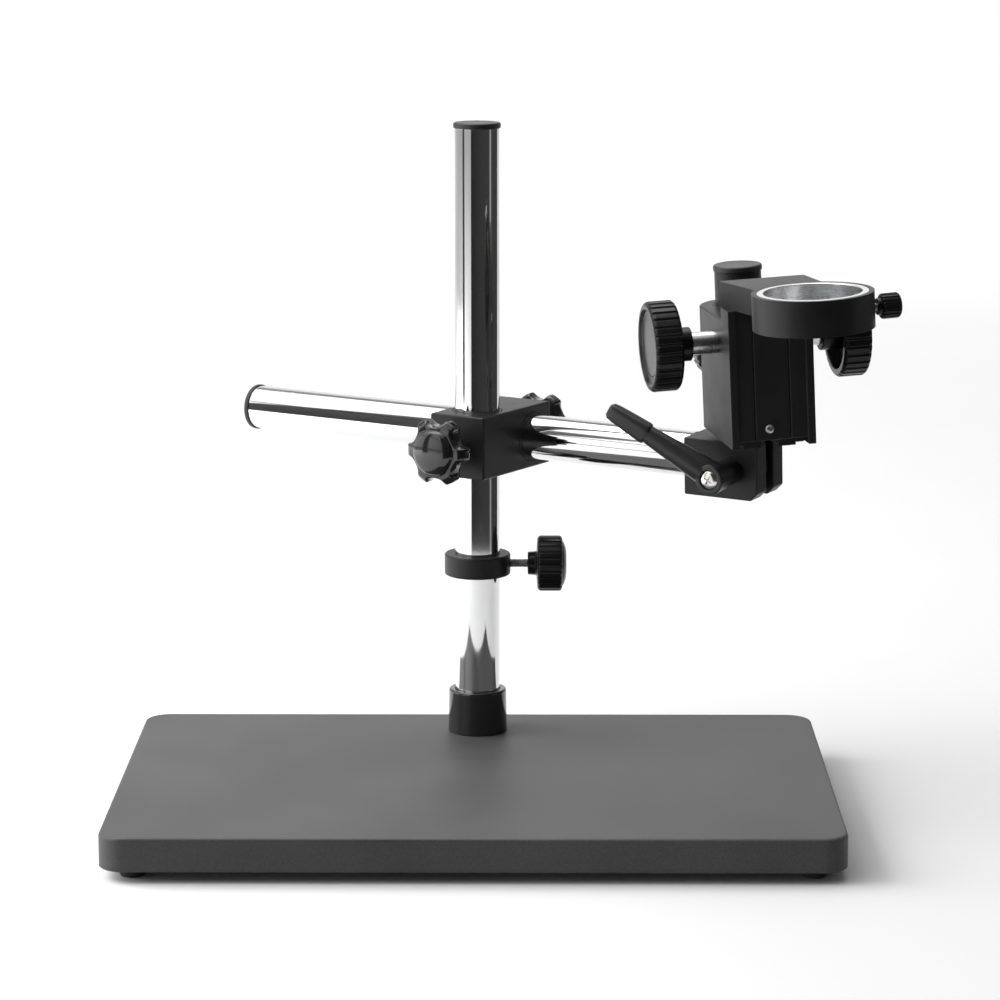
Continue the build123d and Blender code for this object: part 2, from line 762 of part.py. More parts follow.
parts = {
    "base_plate": base_plate(),
    "feet": feet(),
    "foot_screws": foot_screws(),
    "ferrule": ferrule(),
    "column_tube": column_tube(),
    "column_plug": column_plug(),
    "column_screw": column_screw(),
    "column_cap": column_cap(),
    "safety_collar": safety_collar(),
    "collar_stud": collar_stud(),
    "collar_knob": collar_knob(),
    "column_liner": column_liner(),
    "cross_block": cross_block(),
    "column_pad": column_pad(),
    "boom_pad": boom_pad(),
    "column_star_stud": column_clamp_frame() * star_stud(block_front),
    "column_star_knob": column_clamp_frame() * star_knob(block_front),
    "boom_star_stud": boom_clamp_frame() * star_stud(block_back),
    "boom_star_knob": boom_clamp_frame() * star_knob(block_back),
    "boom_liner": boom_liner(),
    "boom_tube": boom_tube(),
    "boom_cap": boom_cap(),
    "tilt_block": tilt_block(),
    "tilt_nut": tilt_nut(),
    "lever_handle": lever_handle(),
    "lever_insert": lever_insert(),
    "lever_screw": lever_screw(),
    "lever_spring": lever_spring(),
    "head_post": head_post(),
    "post_cap": post_cap(),
    "post_liner": post_liner(),
    "focus_body": focus_body(),
    "lock_stud": lock_frame() * thumb_stud(post_liner_outer + seat_gap, body_radius),
    "lock_knob": lock_frame() * thumb_knob(body_radius),
    "shaft_bushes": shaft_bushes(),
    "pinion_shaft": pinion_shaft(),
    "left_focus_knob": shaft_frame() * Rot(180, 0, 0) * focus_knob(),
    "right_focus_knob": shaft_frame() * focus_knob(),
    "left_knob_grub": shaft_frame() * Rot(180, 0, 0) * grub_screw(),
    "right_knob_grub": shaft_frame() * grub_screw(),
    "slider": slider(),
    "rack": rack(),
    "rack_screws": rack_screws(),
    "ring_arm": ring_arm(),
    "ring_sleeve": ring_sleeve(),
    "arm_screws": arm_screws(),
    "ring_stud": ring_stud(),
    "ring_knob": ring_knob(),
}

os.makedirs("parts", exist_ok=True)
for name, shape in parts.items():
    export_step(Pos(-origin_x, -origin_y, 0) * shape, f"parts/{name}.step")
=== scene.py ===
import json
import math

import bmesh
import bpy
from mathutils import Matrix, Vector


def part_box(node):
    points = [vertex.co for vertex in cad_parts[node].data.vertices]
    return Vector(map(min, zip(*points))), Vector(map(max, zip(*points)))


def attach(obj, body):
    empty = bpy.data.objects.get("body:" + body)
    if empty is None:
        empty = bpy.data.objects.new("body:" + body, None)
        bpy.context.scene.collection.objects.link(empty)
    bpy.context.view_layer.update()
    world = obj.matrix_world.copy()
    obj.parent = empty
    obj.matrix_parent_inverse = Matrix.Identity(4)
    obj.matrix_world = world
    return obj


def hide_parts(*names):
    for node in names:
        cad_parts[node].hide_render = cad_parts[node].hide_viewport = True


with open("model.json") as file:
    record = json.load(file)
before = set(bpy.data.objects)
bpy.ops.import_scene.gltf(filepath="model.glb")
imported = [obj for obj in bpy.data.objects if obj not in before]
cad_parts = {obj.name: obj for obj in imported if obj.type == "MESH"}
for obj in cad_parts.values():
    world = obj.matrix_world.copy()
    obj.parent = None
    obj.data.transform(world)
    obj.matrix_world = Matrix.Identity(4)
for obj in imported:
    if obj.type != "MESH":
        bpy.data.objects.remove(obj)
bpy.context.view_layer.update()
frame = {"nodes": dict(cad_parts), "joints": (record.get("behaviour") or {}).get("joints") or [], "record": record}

print("frame loaded:", len(frame["nodes"]), "nodes")

joints = {joint["name"]: joint for joint in frame["joints"]}
mounts = {mount["name"]: mount for mount in frame["record"]["mounts"]}


# each place takes millimetres on a piece's own axes to metres in the row frame
def spot(name):
    return Vector(joints[name]["pos_m"])


def heading(name):
    return Vector(joints[name]["axis"]).normalized()


def axesAt(origin, xAxis, zAxis):
    z = zAxis.normalized()
    y = z.cross(xAxis).normalized()
    turn = Matrix((y.cross(z), y, z)).transposed().to_4x4()
    return Matrix.Translation(origin) @ turn @ Matrix.Scale(0.001, 4)


def shifted(place, x=0.0, y=0.0, z=0.0):
    return place @ Matrix.Translation((x, y, z))


def turned(place, degrees, axis):
    return place @ Matrix.Rotation(math.radians(degrees), 4, axis)


across = Vector((1, 0, 0))
upward = Vector((0, 0, 1))
baseLow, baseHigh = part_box("base_plate")
columnSpot = spot("block_swing")
basePlace = axesAt(Vector(((baseLow.x + baseHigh.x) / 2, (baseLow.y + baseHigh.y) / 2, 0)), across, upward)
columnPlace = axesAt(Vector((columnSpot.x, columnSpot.y, 0)), across, upward)
collarScrewPlace = axesAt(spot("collar_screw_turn"), -upward, heading("collar_screw_turn"))
blockPlace = axesAt(columnSpot, heading("boom_roll"), upward)
boomPlace = axesAt(spot("boom_roll"), heading("boom_reach"),
                   heading("boom_reach").cross(heading("head_tilt")))
tiltPlace = axesAt(spot("head_tilt"), heading("boom_reach"),
                   heading("boom_reach").cross(heading("head_tilt")))
headPlace = axesAt(spot("head_tilt"), heading("focus_knob_turn"), heading("focus_travel"))
shaftPlace = axesAt(spot("focus_knob_turn"), -heading("focus_travel"), heading("focus_knob_turn"))
ringPlace = axesAt(Vector(mounts["ring_bore"]["pos_m"]), heading("focus_knob_turn"),
                   heading("focus_travel"))
ringScrewPlace = axesAt(spot("ring_screw_turn") - heading("ring_screw_turn") * 0.031,
                        -heading("focus_travel"), heading("ring_screw_turn"))
lockPlace = turned(shifted(headPlace, z=55), -90, "X")


class Flow:
    # one socket of a shader tree, with maths on it
    def __init__(self, finish, socket):
        self.finish = finish
        self.socket = socket

    def __add__(self, other):
        return self.finish.sums("ADD", self, other)

    def __sub__(self, other):
        return self.finish.sums("SUBTRACT", self, other)

    def __rsub__(self, other):
        return self.finish.sums("SUBTRACT", other, self)

    def __mul__(self, other):
        return self.finish.sums("MULTIPLY", self, other)

    def __pow__(self, other):
        return self.finish.sums("POWER", self, other)


class Finish:
    # one material and its node tree
    def __init__(self, name):
        self.material = bpy.data.materials.new(name)
        self.material.use_nodes = True
        self.tree = self.material.node_tree
        self.tree.nodes.clear()

    def node(self, kind, settings=None, values=None, take=0):
        made = self.tree.nodes.new(kind)
        for key, value in (settings or {}).items():
            if key == "stops":
                ramp = made.color_ramp
                while len(ramp.elements) < len(value):
                    ramp.elements.new(0.5)
                for element, (at, colour) in zip(ramp.elements, value):
                    element.position = at
                    element.color = colour
            else:
                setattr(made, key, value)
        for key, value in (values or {}).items():
            if isinstance(value, Flow):
                self.tree.links.new(value.socket, made.inputs[key])
            else:
                made.inputs[key].default_value = value
        return Flow(self, made.outputs[take]) if made.outputs else made

    def sums(self, operation, first, second=0.0):
        return self.node("ShaderNodeMath", {"operation": operation}, {0: first, 1: second})

    def coords(self, sizes=(1000.0, 1000.0, 1000.0)):
        # object coordinates, in millimetres unless other sizes are given
        source = self.node("ShaderNodeTexCoord", take=3)
        return self.node("ShaderNodeMapping", {"vector_type": "TEXTURE"},
                         {"Vector": source, "Scale": tuple(1.0 / size for size in sizes)})

    def noise(self, coords, scale, detail=2.0, roughness=0.5):
        return self.node("ShaderNodeTexNoise", {"noise_dimensions": "3D"},
                         {"Vector": coords, "Scale": scale, "Detail": detail, "Roughness": roughness})

    def ramp(self, factor, stops):
        grey = [(at, (level, level, level, 1)) for at, level in stops]
        return self.node("ShaderNodeValToRGB", {"stops": grey}, {"Fac": factor})

    def mixed(self, factor, first, second):
        return self.node("ShaderNodeMix", {"data_type": "RGBA"}, {0: factor, 6: first, 7: second}, take=2)

    def edges(self, radius):
        # near 1 where two faces meet within this radius, 0 on the flat
        soft = self.node("ShaderNodeBevel", {"samples": 4}, {"Radius": radius})
        hard = self.node("ShaderNodeNewGeometry", take=1)
        alike = self.node("ShaderNodeVectorMath", {"operation": "DOT_PRODUCT"}, {0: soft, 1: hard}, take=1)
        return self.ramp(1.0 - alike, [(0.0, 0.0), (0.04, 0.0), (0.16, 1.0)])

    def bump(self, height, strength, distance):
        return self.node("ShaderNodeBump", None, {"Height": height, "Strength": strength,
                                                  "Distance": distance})

    def shade(self, **values):
        named = {key.replace("_", " "): value for key, value in values.items()}
        shader = self.node("ShaderNodeBsdfPrincipled", None, named)
        self.node("ShaderNodeOutputMaterial", None, {"Surface": shader})
        return self.material


def rgb(level, tint=(1.0, 1.0, 1.0)):
    return (level * tint[0], level * tint[1], level * tint[2], 1.0)


powder = {"dark": 0.026, "light": 0.056, "wear": 0.13, "rough": 0.52}


def powderCoat(name):
    f = Finish(name)
    mm = f.coords()
    grain = f.noise(mm, 1.3, 3.0, 0.6)
    pits = f.noise(mm, 3.1, 1.0)
    drift = f.noise(mm, 0.012, 3.0)
    tone = f.mixed(f.ramp(grain * 0.55 + drift * 0.45, [(0.36, 0.0), (0.66, 1.0)]),
                   rgb(powder["dark"], (1, 1, 1.02)), rgb(powder["light"], (1, 1, 1.02)))
    worn = f.mixed(f.edges(0.0012) * f.ramp(f.noise(mm, 0.35, 3.0), [(0.42, 0.0), (0.7, 1.0)]) * 0.55, tone,
                   rgb(powder["wear"]))
    rough = grain * 0.16 + drift * 0.12 + (powder["rough"] - 0.14)
    return f.shade(Base_Color=worn, Roughness=rough, Normal=f.bump(grain * 0.7 + pits * 0.3, 0.32, 0.00022),
                   Specular_IOR_Level=0.5)


chrome = {"tone": 0.72, "rough": 0.03}


def chromePlate(name):
    f = Finish(name)
    mm = f.coords()
    haze = f.noise(mm, 0.03, 4.0, 0.6)
    scuffs = f.noise(f.coords((1000.0, 1000.0, 90.0)), 0.9, 3.0, 0.7)
    flecks = f.ramp(scuffs, [(0.6, 0.0), (0.78, 1.0)])
    rough = haze * 0.05 + flecks * 0.08 + chrome["rough"]
    tone = f.mixed(haze, rgb(chrome["tone"], (0.985, 0.99, 1)), rgb(chrome["tone"] + 0.08))
    return f.shade(Base_Color=tone, Metallic=1.0, Roughness=rough, Normal=f.bump(haze, 0.05, 0.0003))


def satinBlack(name, tone=0.008, rough=0.4, grainScale=1.9):
    f = Finish(name)
    mm = f.coords()
    grain = f.noise(mm, grainScale, 2.0, 0.6)
    drift = f.noise(mm, 0.05, 3.0)
    paint = f.mixed(drift, rgb(tone * 0.8), rgb(tone * 1.3))
    worn = f.mixed(f.edges(0.0007) * f.ramp(f.noise(mm, 0.5, 3.0), [(0.4, 0.0), (0.75, 1.0)]) * 0.4, paint,
                   rgb(0.09))
    return f.shade(Base_Color=worn, Roughness=grain * 0.12 + drift * 0.12 + (rough - 0.1),
                   Normal=f.bump(grain, 0.22, 0.00012), Specular_IOR_Level=0.38)


def mouldedBlack(name, tone, rough, ripple, coat=0.0, gloss=0.5):
    f = Finish(name)
    mm = f.coords()
    flow = f.noise(mm, 0.09, 3.0, 0.55)
    fine = f.noise(mm, 2.6, 2.0)
    dust = f.ramp(f.noise(mm, 1.1, 4.0, 0.7), [(0.6, 0.0), (0.72, 1.0)])
    body = f.mixed(dust * 0.25, rgb(tone), rgb(tone * 3.2))
    return f.shade(Base_Color=body, Roughness=flow * 0.1 + dust * 0.1 + fine * 0.04 + (rough - 0.07),
                   Coat_Weight=coat,
                   Coat_Roughness=0.06, Specular_IOR_Level=gloss,
                   Normal=f.bump(flow * 0.6 + fine * 0.4, ripple, 0.0002))


def turnedMetal(name, tone, tint, rough, axis):
    # fine tool marks ring the given axis, which is a direction in the row frame
    f = Finish(name)
    mm = f.coords()
    along = f.node("ShaderNodeVectorMath", {"operation": "DOT_PRODUCT"}, {0: mm, 1: tuple(axis)}, take=1)
    rings = f.node("ShaderNodeTexNoise", {"noise_dimensions": "1D"},
                   {"W": along, "Scale": 7.0, "Detail": 3.0, "Roughness": 0.7})
    cloud = f.noise(mm, 0.12, 3.0)
    body = f.mixed(rings * 0.6 + cloud * 0.4, rgb(tone * 0.82, tint), rgb(tone * 1.12, tint))
    return f.shade(Base_Color=body, Metallic=1.0, Roughness=rings * 0.2 + cloud * 0.12 + (rough - 0.14),
                   Normal=f.bump(rings, 0.16, 0.00006))


def footRubber(name):
    f = Finish(name)
    mm = f.coords()
    grain = f.noise(mm, 2.4, 3.0)
    dust = f.ramp(f.noise(mm, 0.5, 3.0), [(0.5, 0.0), (0.8, 1.0)])
    return f.shade(Base_Color=f.mixed(dust * 0.4, rgb(0.012), rgb(0.05)), Roughness=grain * 0.15 + 0.62,
                   Normal=f.bump(grain, 0.4, 0.00015))


baseCoat = powderCoat("baseCoat")
tubeChrome = chromePlate("tubeChrome")
satin = satinBlack("satinBlack")
leverPaint = satinBlack("leverPaint", 0.014, 0.3, 1.2)
phenolic = mouldedBlack("phenolicBlack", 0.008, 0.11, 0.05, 0.5)
ribbedPlastic = mouldedBlack("ribbedPlastic", 0.007, 0.24, 0.06, 0.0, 0.24)
capPlastic = mouldedBlack("capPlastic", 0.014, 0.4, 0.2)
linerNylon = mouldedBlack("linerNylon", 0.014, 0.5, 0.2)
rubber = footRubber("footRubber")
steelUp = turnedMetal("steelUpright", 0.56, (1, 0.99, 0.98), 0.27, upward)
steelShaft = turnedMetal("steelShaft", 0.62, (1, 0.99, 0.98), 0.24, heading("focus_knob_turn"))
steelCollar = turnedMetal("steelCollarStud", 0.5, (1, 0.99, 0.98), 0.3, heading("collar_screw_turn"))
steelStar = turnedMetal("steelStarStud", 0.5, (1, 0.99, 0.98), 0.3, heading("boom_star_turn"))
steelRing = turnedMetal("steelRingStud", 0.55, (1, 0.99, 0.98), 0.28, heading("ring_screw_turn"))
nickel = turnedMetal("nickelScrew", 0.78, (1, 0.98, 0.95), 0.2, heading("lever_swing"))
bareAlloy = turnedMetal("bareAluminium", 0.86, (0.99, 1, 1.01), 0.24, heading("focus_travel"))
brassMetal = turnedMetal("brassPad", 0.62, (1, 0.76, 0.4), 0.32, heading("focus_travel"))
print("finishes made:", len(bpy.data.materials))


def eased(points, radius, closed):
    # rounds the corners of a profile; a third number on a point sets its own radius
    made = []
    count = len(points)
    for index, point in enumerate(points):
        here = Vector(point[:2])
        reach = point[2] if len(point) > 2 else radius
        if reach <= 0 or (not closed and index in (0, count - 1)):
            made.append(here)
            continue
        back = Vector(points[index - 1][:2]) - here
        ahead = Vector(points[(index + 1) % count][:2]) - here
        reach = min(reach, back.length * 0.48, ahead.length * 0.48)
        if back.angle(ahead) > 3.0:
            made.append(here)
            continue
        first = here + back.normalized() * reach
        last = here + ahead.normalized() * reach
        for step in range(5):
            t = step / 4
            made.append(first * (1 - t) ** 2 + here * 2 * t * (1 - t) + last * t ** 2)
    return made


def meshFrom(name, vertices, faces):
    mesh = bpy.data.meshes.new(name)
    mesh.from_pydata([tuple(v) for v in vertices], [], faces)
    work = bmesh.new()
    work.from_mesh(mesh)
    bmesh.ops.remove_doubles(work, verts=work.verts, dist=1e-5)
    bmesh.ops.recalc_face_normals(work, faces=work.faces)
    work.to_mesh(mesh)
    work.free()
    return mesh


def lathe(points, steps=96, soft=0.3, closed=False):
    # spins a profile of (radius, height) about z; an open profile starts and ends on the axis
    rings = []
    vertices = []
    for radius, height in eased(points, soft, closed):
        if radius < 1e-4:
            rings.append([len(vertices)])
            vertices.append((0, 0, height))
            continue
        rings.append(list(range(len(vertices), len(vertices) + steps)))
        for step in range(steps):
            angle = 2 * math.pi * step / steps
            vertices.append((radius * math.cos(angle), radius * math.sin(angle), height))
    faces = []
    pairs = list(zip(rings, rings[1:] + ([rings[0]] if closed else [])))
    for low, high in pairs:
        for step in range(steps):
            after = (step + 1) % steps
            if len(low) == 1 and len(high) == 1:
                continue
            if len(low) == 1:
                faces.append((low[0], high[after], high[step]))
            elif len(high) == 1:
                faces.append((low[step], low[after], high[0]))
            else:
                faces.append((low[step], low[after], high[after], high[step]))
    return meshFrom("turning", vertices, faces)


def pipe(outer, inner, low, high, soft=0.3, steps=96):
    return lathe([(outer, low), (outer, high), (inner, high), (inner, low)], steps, soft, True)


def rod(radius, low, high, soft=0.0, steps=64):
    return lathe([(0, low), (radius, low), (radius, high), (0, high)], steps, soft)


def prism(outline, low, high):
    count = len(outline)
    vertices = [(x, y, low) for x, y in outline] + [(x, y, high) for x, y in outline]
    faces = [tuple(range(count)), tuple(range(count, 2 * count))]
    faces += [(i, (i + 1) % count, (i + 1) % count + count, i + count) for i in range(count)]
    return meshFrom("bar", vertices, faces)


def box(x0, x1, y0, y1, z0, z1):
    return prism([(x0, y0), (x1, y0), (x1, y1), (x0, y1)], z0, z1)


def arc(x, y, radius, start, end, steps):
    turns = [math.radians(start + (end - start) * step / steps) for step in range(steps + 1)]
    return [(x + radius * math.cos(turn), y + radius * math.sin(turn)) for turn in turns]


def at(mesh, place):
    mesh.transform(place)
    return mesh


def alongX(mesh):
    return at(mesh, Matrix.Rotation(math.pi / 2, 4, "Y"))


def alongPlusY(mesh):
    return at(mesh, Matrix.Rotation(-math.pi / 2, 4, "X"))


def alongMinusY(mesh):
    return at(mesh, Matrix.Rotation(math.pi / 2, 4, "X"))


def lifted(mesh, x=0.0, y=0.0, z=0.0):
    return at(mesh, Matrix.Translation((x, y, z)))


def thing(name, mesh):
    made = bpy.data.objects.new(name, mesh)
    bpy.context.scene.collection.objects.link(made)
    return made


def baked(holder):
    # the evaluated mesh of an object, which is then removed
    bpy.context.view_layer.update()
    graph = bpy.context.evaluated_depsgraph_get()
    mesh = bpy.data.meshes.new_from_object(holder.evaluated_get(graph), preserve_all_data_layers=True,
                                           depsgraph=graph)
    bpy.data.objects.remove(holder)
    return mesh


def carved(mesh, cuts=(), adds=(), bevel=0.0):
    # joins and cuts solids in millimetres, then softens the edges
    holder = thing("work", mesh)
    tools = []
    for operation, others in (("UNION", adds), ("DIFFERENCE", cuts)):
        for other in others:
            tool = thing("tool", other)
            tools.append(tool)
            change = holder.modifiers.new(operation, "BOOLEAN")
            change.operation = operation
            change.solver = "EXACT"
            change.object = tool
    mesh = baked(holder)
    for tool in tools:
        bpy.data.objects.remove(tool)
    work = bmesh.new()
    work.from_mesh(mesh)
    bmesh.ops.remove_doubles(work, verts=work.verts, dist=1e-4)
    bmesh.ops.dissolve_limit(work, angle_limit=0.004, verts=work.verts, edges=work.edges)
    work.to_mesh(mesh)
    work.free()
    if bevel:
        holder = thing("work", mesh)
        change = holder.modifiers.new("bevel", "BEVEL")
        change.width = bevel
        change.segments = 3
        change.limit_method = "ANGLE"
        change.angle_limit = math.radians(35)
        change.miter_outer = "MITER_ARC"
        mesh = baked(holder)
    return mesh


def settle(name, mesh, place, finish, body, nodes=(), sharp=32.0):
    # puts a finished mesh in the row frame and hands it to its body
    mesh.transform(place)
    mesh.name = name
    mesh.materials.clear()
    mesh.materials.append(finish)
    for face in mesh.polygons:
        face.material_index = 0
    mesh.shade_smooth()
    mesh.set_sharp_from_angle(angle=math.radians(sharp))
    piece = thing(name, mesh)
    fair = piece.modifiers.new("weighted", "WEIGHTED_NORMAL")
    fair.keep_sharp = True
    settled = baked(piece)
    piece = thing(name, settled)
    settled.name = name
    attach(piece, body)
    if nodes:
        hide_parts(*nodes)
    return piece


class Growth:
    # one geometry node tree, with the same wrapper for its maths
    def __init__(self, name, inputs):
        self.tree = bpy.data.node_groups.new(name, "GeometryNodeTree")
        face = self.tree.interface
        face.new_socket("Geometry", in_out="INPUT", socket_type="NodeSocketGeometry")
        for key, kind in inputs.items():
            face.new_socket(key, in_out="INPUT", socket_type="NodeSocket" + kind)
        face.new_socket("Geometry", in_out="OUTPUT", socket_type="NodeSocketGeometry")
        self.group = self.tree.nodes.new("NodeGroupInput")

    def named(self, key):
        return Flow(self, self.group.outputs[key])

    node = Finish.node
    sums = Finish.sums

    def position(self):
        # each point's x, y and z, and its distance from the z axis
        x = self.node("ShaderNodeSeparateXYZ", None, {0: self.node("GeometryNodeInputPosition")})
        y, z = (Flow(self, x.socket.node.outputs[number]) for number in (1, 2))
        return x, y, z, (x * x + y * y) ** 0.5

    def moved(self, x, y, z):
        place = self.node("ShaderNodeCombineXYZ", None, {0: x, 1: y, 2: z})
        return self.node("GeometryNodeSetPosition", None, {"Geometry": self.named("Geometry"),
                                                           "Position": place})

    def close(self, geometry):
        real = self.node("GeometryNodeRealizeInstances", None, {"Geometry": geometry})
        painted = self.node("GeometryNodeSetMaterial", None, {"Geometry": real,
                                                              "Material": self.named("Finish")})
        end = self.tree.nodes.new("NodeGroupOutput")
        self.tree.links.new(painted.socket, end.inputs["Geometry"])
        return self.tree


def grown(tree, start, values):
    # runs a tree on a start mesh and gives back a plain mesh
    holder = thing("grow", start)
    change = holder.modifiers.new("grow", "NODES")
    change.node_group = tree
    for item in tree.interface.items_tree:
        if item.in_out == "INPUT" and item.name in values:
            change[item.identifier] = values[item.name]
    return baked(holder)


def fluteTree():
    # sinks round flutes into the rim of a turned grip
    g = Growth("flutedGrip", {"Count": "Int", "Outer Radius": "Float", "Flute Reach": "Float",
                              "Flute Radius": "Float",
                              "Fade Radius": "Float", "Edge Softness": "Float", "Finish": "Material"})
    x, y, z, radius = g.position()
    angle = g.sums("ARCTAN2", y, x)
    half = g.sums("DIVIDE", math.pi, g.named("Count"))
    near = g.node("ShaderNodeMath", {"operation": "WRAP"}, {0: angle, 1: half, 2: half * -1.0})
    aside = g.named("Flute Reach") * g.sums("SINE", near)
    inside = g.sums("MAXIMUM", g.named("Flute Radius") * g.named("Flute Radius") - aside * aside, 0.0)
    wall = g.named("Flute Reach") * g.sums("COSINE", near) - inside ** 0.5
    limit = g.node("ShaderNodeMath", {"operation": "SMOOTH_MIN"},
                   {0: g.named("Outer Radius"), 1: wall, 2: g.named("Edge Softness")})
    share = g.node("ShaderNodeMapRange", {"interpolation_type": "LINEAR"},
                   {"Value": radius, "From Min": g.named("Fade Radius"),
                    "From Max": g.named("Outer Radius")})
    scale = share * (g.sums("DIVIDE", limit, g.named("Outer Radius")) - 1.0) + 1.0
    return g.close(g.moved(x * scale, y * scale, z))


def threadTree():
    # cuts a screw thread into the plain part of a stud
    g = Growth("screwThread", {"Pitch": "Float", "Depth": "Float", "Start": "Float",
                               "Crest Radius": "Float", "Finish": "Material"})
    x, y, z, radius = g.position()
    turns = g.sums("ARCTAN2", y, x) * (1 / (2 * math.pi))
    phase = g.sums("DIVIDE", z, g.named("Pitch")) - turns
    tooth = g.node("ShaderNodeMath", {"operation": "PINGPONG"}, {0: phase, 1: 0.5}) * 2.0
    begun = g.node("ShaderNodeMath", {"operation": "GREATER_THAN"}, {0: z, 1: g.named("Start")})
    full = g.node("ShaderNodeMath", {"operation": "GREATER_THAN"},
                  {0: radius, 1: g.named("Crest Radius") - 0.02})
    scale = 1.0 - g.sums("DIVIDE", tooth * g.named("Depth"), g.named("Crest Radius")) * begun * full
    return g.close(g.moved(x * scale, y * scale, z))


def spreadTree():
    # sets copies of a mesh on the corners of a grid, or along a line when one count is 1
    g = Growth("spreadCopies", {"Width": "Float", "Depth": "Float", "Columns": "Int", "Rows": "Int",
                                "Finish": "Material"})
    grid = g.node("GeometryNodeMeshGrid", None, {"Size X": g.named("Width"), "Size Y": g.named("Depth"),
                                                 "Vertices X": g.named("Columns"),
                                                 "Vertices Y": g.named("Rows")})
    points = g.node("GeometryNodeMeshToPoints", None, {"Mesh": grid})
    copies = g.node("GeometryNodeInstanceOnPoints", None,
                    {"Points": points, "Instance": g.named("Geometry")})
    return g.close(copies)


def roundTree():
    # sets copies of a mesh round the z axis
    g = Growth("roundCopies", {"Count": "Int", "Finish": "Material"})
    circle = g.node("GeometryNodeMeshCircle", {"fill_type": "NONE"},
                    {"Vertices": g.named("Count"), "Radius": 0.001})
    points = g.node("GeometryNodeMeshToPoints", None, {"Mesh": circle})
    number = g.node("GeometryNodeInputIndex")
    turn = g.node("ShaderNodeCombineXYZ", None, {2: g.sums("DIVIDE", number * (2 * math.pi),
                                                           g.named("Count"))})
    copies = g.node("GeometryNodeInstanceOnPoints", None,
                    {"Points": points, "Instance": g.named("Geometry"), "Rotation": turn})
    return g.close(copies)


flutes = fluteTree()
threads = threadTree()
spread = spreadTree()
around = roundTree()


def fluted(mesh, count, outer, reach, flute, fade, softness, finish):
    return grown(flutes, mesh, {"Count": count, "Outer Radius": outer, "Flute Reach": reach,
                                "Flute Radius": flute,
                                "Fade Radius": fade, "Edge Softness": softness, "Finish": finish})


def threaded(radius, low, high, pitch, start, finish):
    # a stud with a threaded shank; its rings are close enough to carry the thread
    rows = int((high - low) / pitch * 6)
    points = [(0, low), (radius - 0.6, low)]
    points += [(radius, low + 0.5 + (high - low - 1.0) * i / rows) for i in range(rows + 1)]
    points += [(radius - 0.6, high), (0, high)]
    return grown(threads, lathe(points, 32, 0.0), {"Pitch": pitch, "Depth": 0.42, "Start": start,
                                                   "Crest Radius": radius,
                                                   "Finish": finish})


print("trees made:", len(bpy.data.node_groups))


base = {"width": 380.0, "depth": 250.0, "low": 6.0, "high": 24.0, "corner": 13.0, "soft": 1.8,
        "columnBack": 90.0,
        "screwHole": 4.3, "headHole": 7.5, "headHoleDepth": 14.0}


def basePiece():
    x = base["width"] / 2
    y = base["depth"] / 2
    c = base["corner"]
    outline = (arc(x - c, y - c, c, 0, 90, 12) + arc(-x + c, y - c, c, 90, 180, 12)
               + arc(-x + c, -y + c, c, 180, 270, 12) + arc(x - c, -y + c, c, 270, 360, 12))
    low, high, s = base["low"], base["high"], base["soft"]
    vertices = []
    levels = [(0.6, low), (0.0, low + 0.6)] + [(s * (1 - math.sin(a)), high - s * (1 - math.cos(a)))
                                               for a in [math.pi / 2 * (1 - k / 6) for k in range(7)]]
    for inset, height in levels:
        scaleX, scaleY = (x - inset) / x, (y - inset) / y
        vertices += [(px * scaleX, py * scaleY, height) for px, py in outline]
    n = len(outline)
    faces = [tuple(range(n)), tuple(range(n * (len(levels) - 1), n * len(levels)))]
    for k in range(len(levels) - 1):
        faces += [(k * n + i, k * n + (i + 1) % n, (k + 1) * n + (i + 1) % n,
                   (k + 1) * n + i) for i in range(n)]
    plate = meshFrom("plate", vertices, faces)
    bore, wide, deep = base["screwHole"], base["headHole"], base["headHoleDepth"]
    recess = lathe([(0, 0), (wide, 0), (wide, deep), (bore, deep), (bore, high + 1), (0, high + 1)], 48,
                   0.0)
    return carved(plate, cuts=[lifted(recess, y=base["columnBack"])])


settle("basePlate", basePiece(), basePlace, baseCoat, "stand", ["base_plate"])

foot = {"radius": 6.5, "height": 6.0, "inset": 16.5, "bore": 2.1, "pocket": 3.8, "pocketDepth": 2.6}
footScrew = {"radius": 3.55, "low": 0.8, "high": 2.55, "slot": 2.0, "slotHalf": 0.45, "slotTop": 1.4}


def footPiece():
    pocket, deep, high = foot["pocket"], foot["pocketDepth"], foot["height"]
    return lathe([(0, deep), (foot["bore"], deep), (pocket, deep), (pocket, 0.0),
                  (foot["radius"] - 0.7, 0.0, 0.4),
                  (foot["radius"], 0.9, 0.5), (foot["radius"], high, 0.2), (foot["bore"], high), (0, high)],
                 48, 0.15)


def footScrewPiece():
    k = footScrew
    cross = [box(-k["slot"], k["slot"], -k["slotHalf"], k["slotHalf"], -0.8, k["slotTop"]),
             box(-k["slotHalf"], k["slotHalf"], -k["slot"], k["slot"], -0.8, k["slotTop"])]
    head = lathe([(0, k["low"]), (2.6, k["low"] + 0.05), (k["radius"], 1.5), (k["radius"], k["high"]),
                  (0, k["high"])], 40, 0.25)
    return carved(head, cuts=cross)


def onCorners(mesh, finish):
    # one copy under each corner of the base
    return grown(spread, mesh, {"Width": base["width"] - 2 * foot["inset"],
                                "Depth": base["depth"] - 2 * foot["inset"],
                                "Columns": 2, "Rows": 2, "Finish": finish})


settle("rubberFeet", onCorners(footPiece(), rubber), basePlace, rubber, "stand", ["feet"])
settle("footScrews", onCorners(footScrewPiece(), steelUp), basePlace, steelUp, "stand",
       ["foot_screws"])

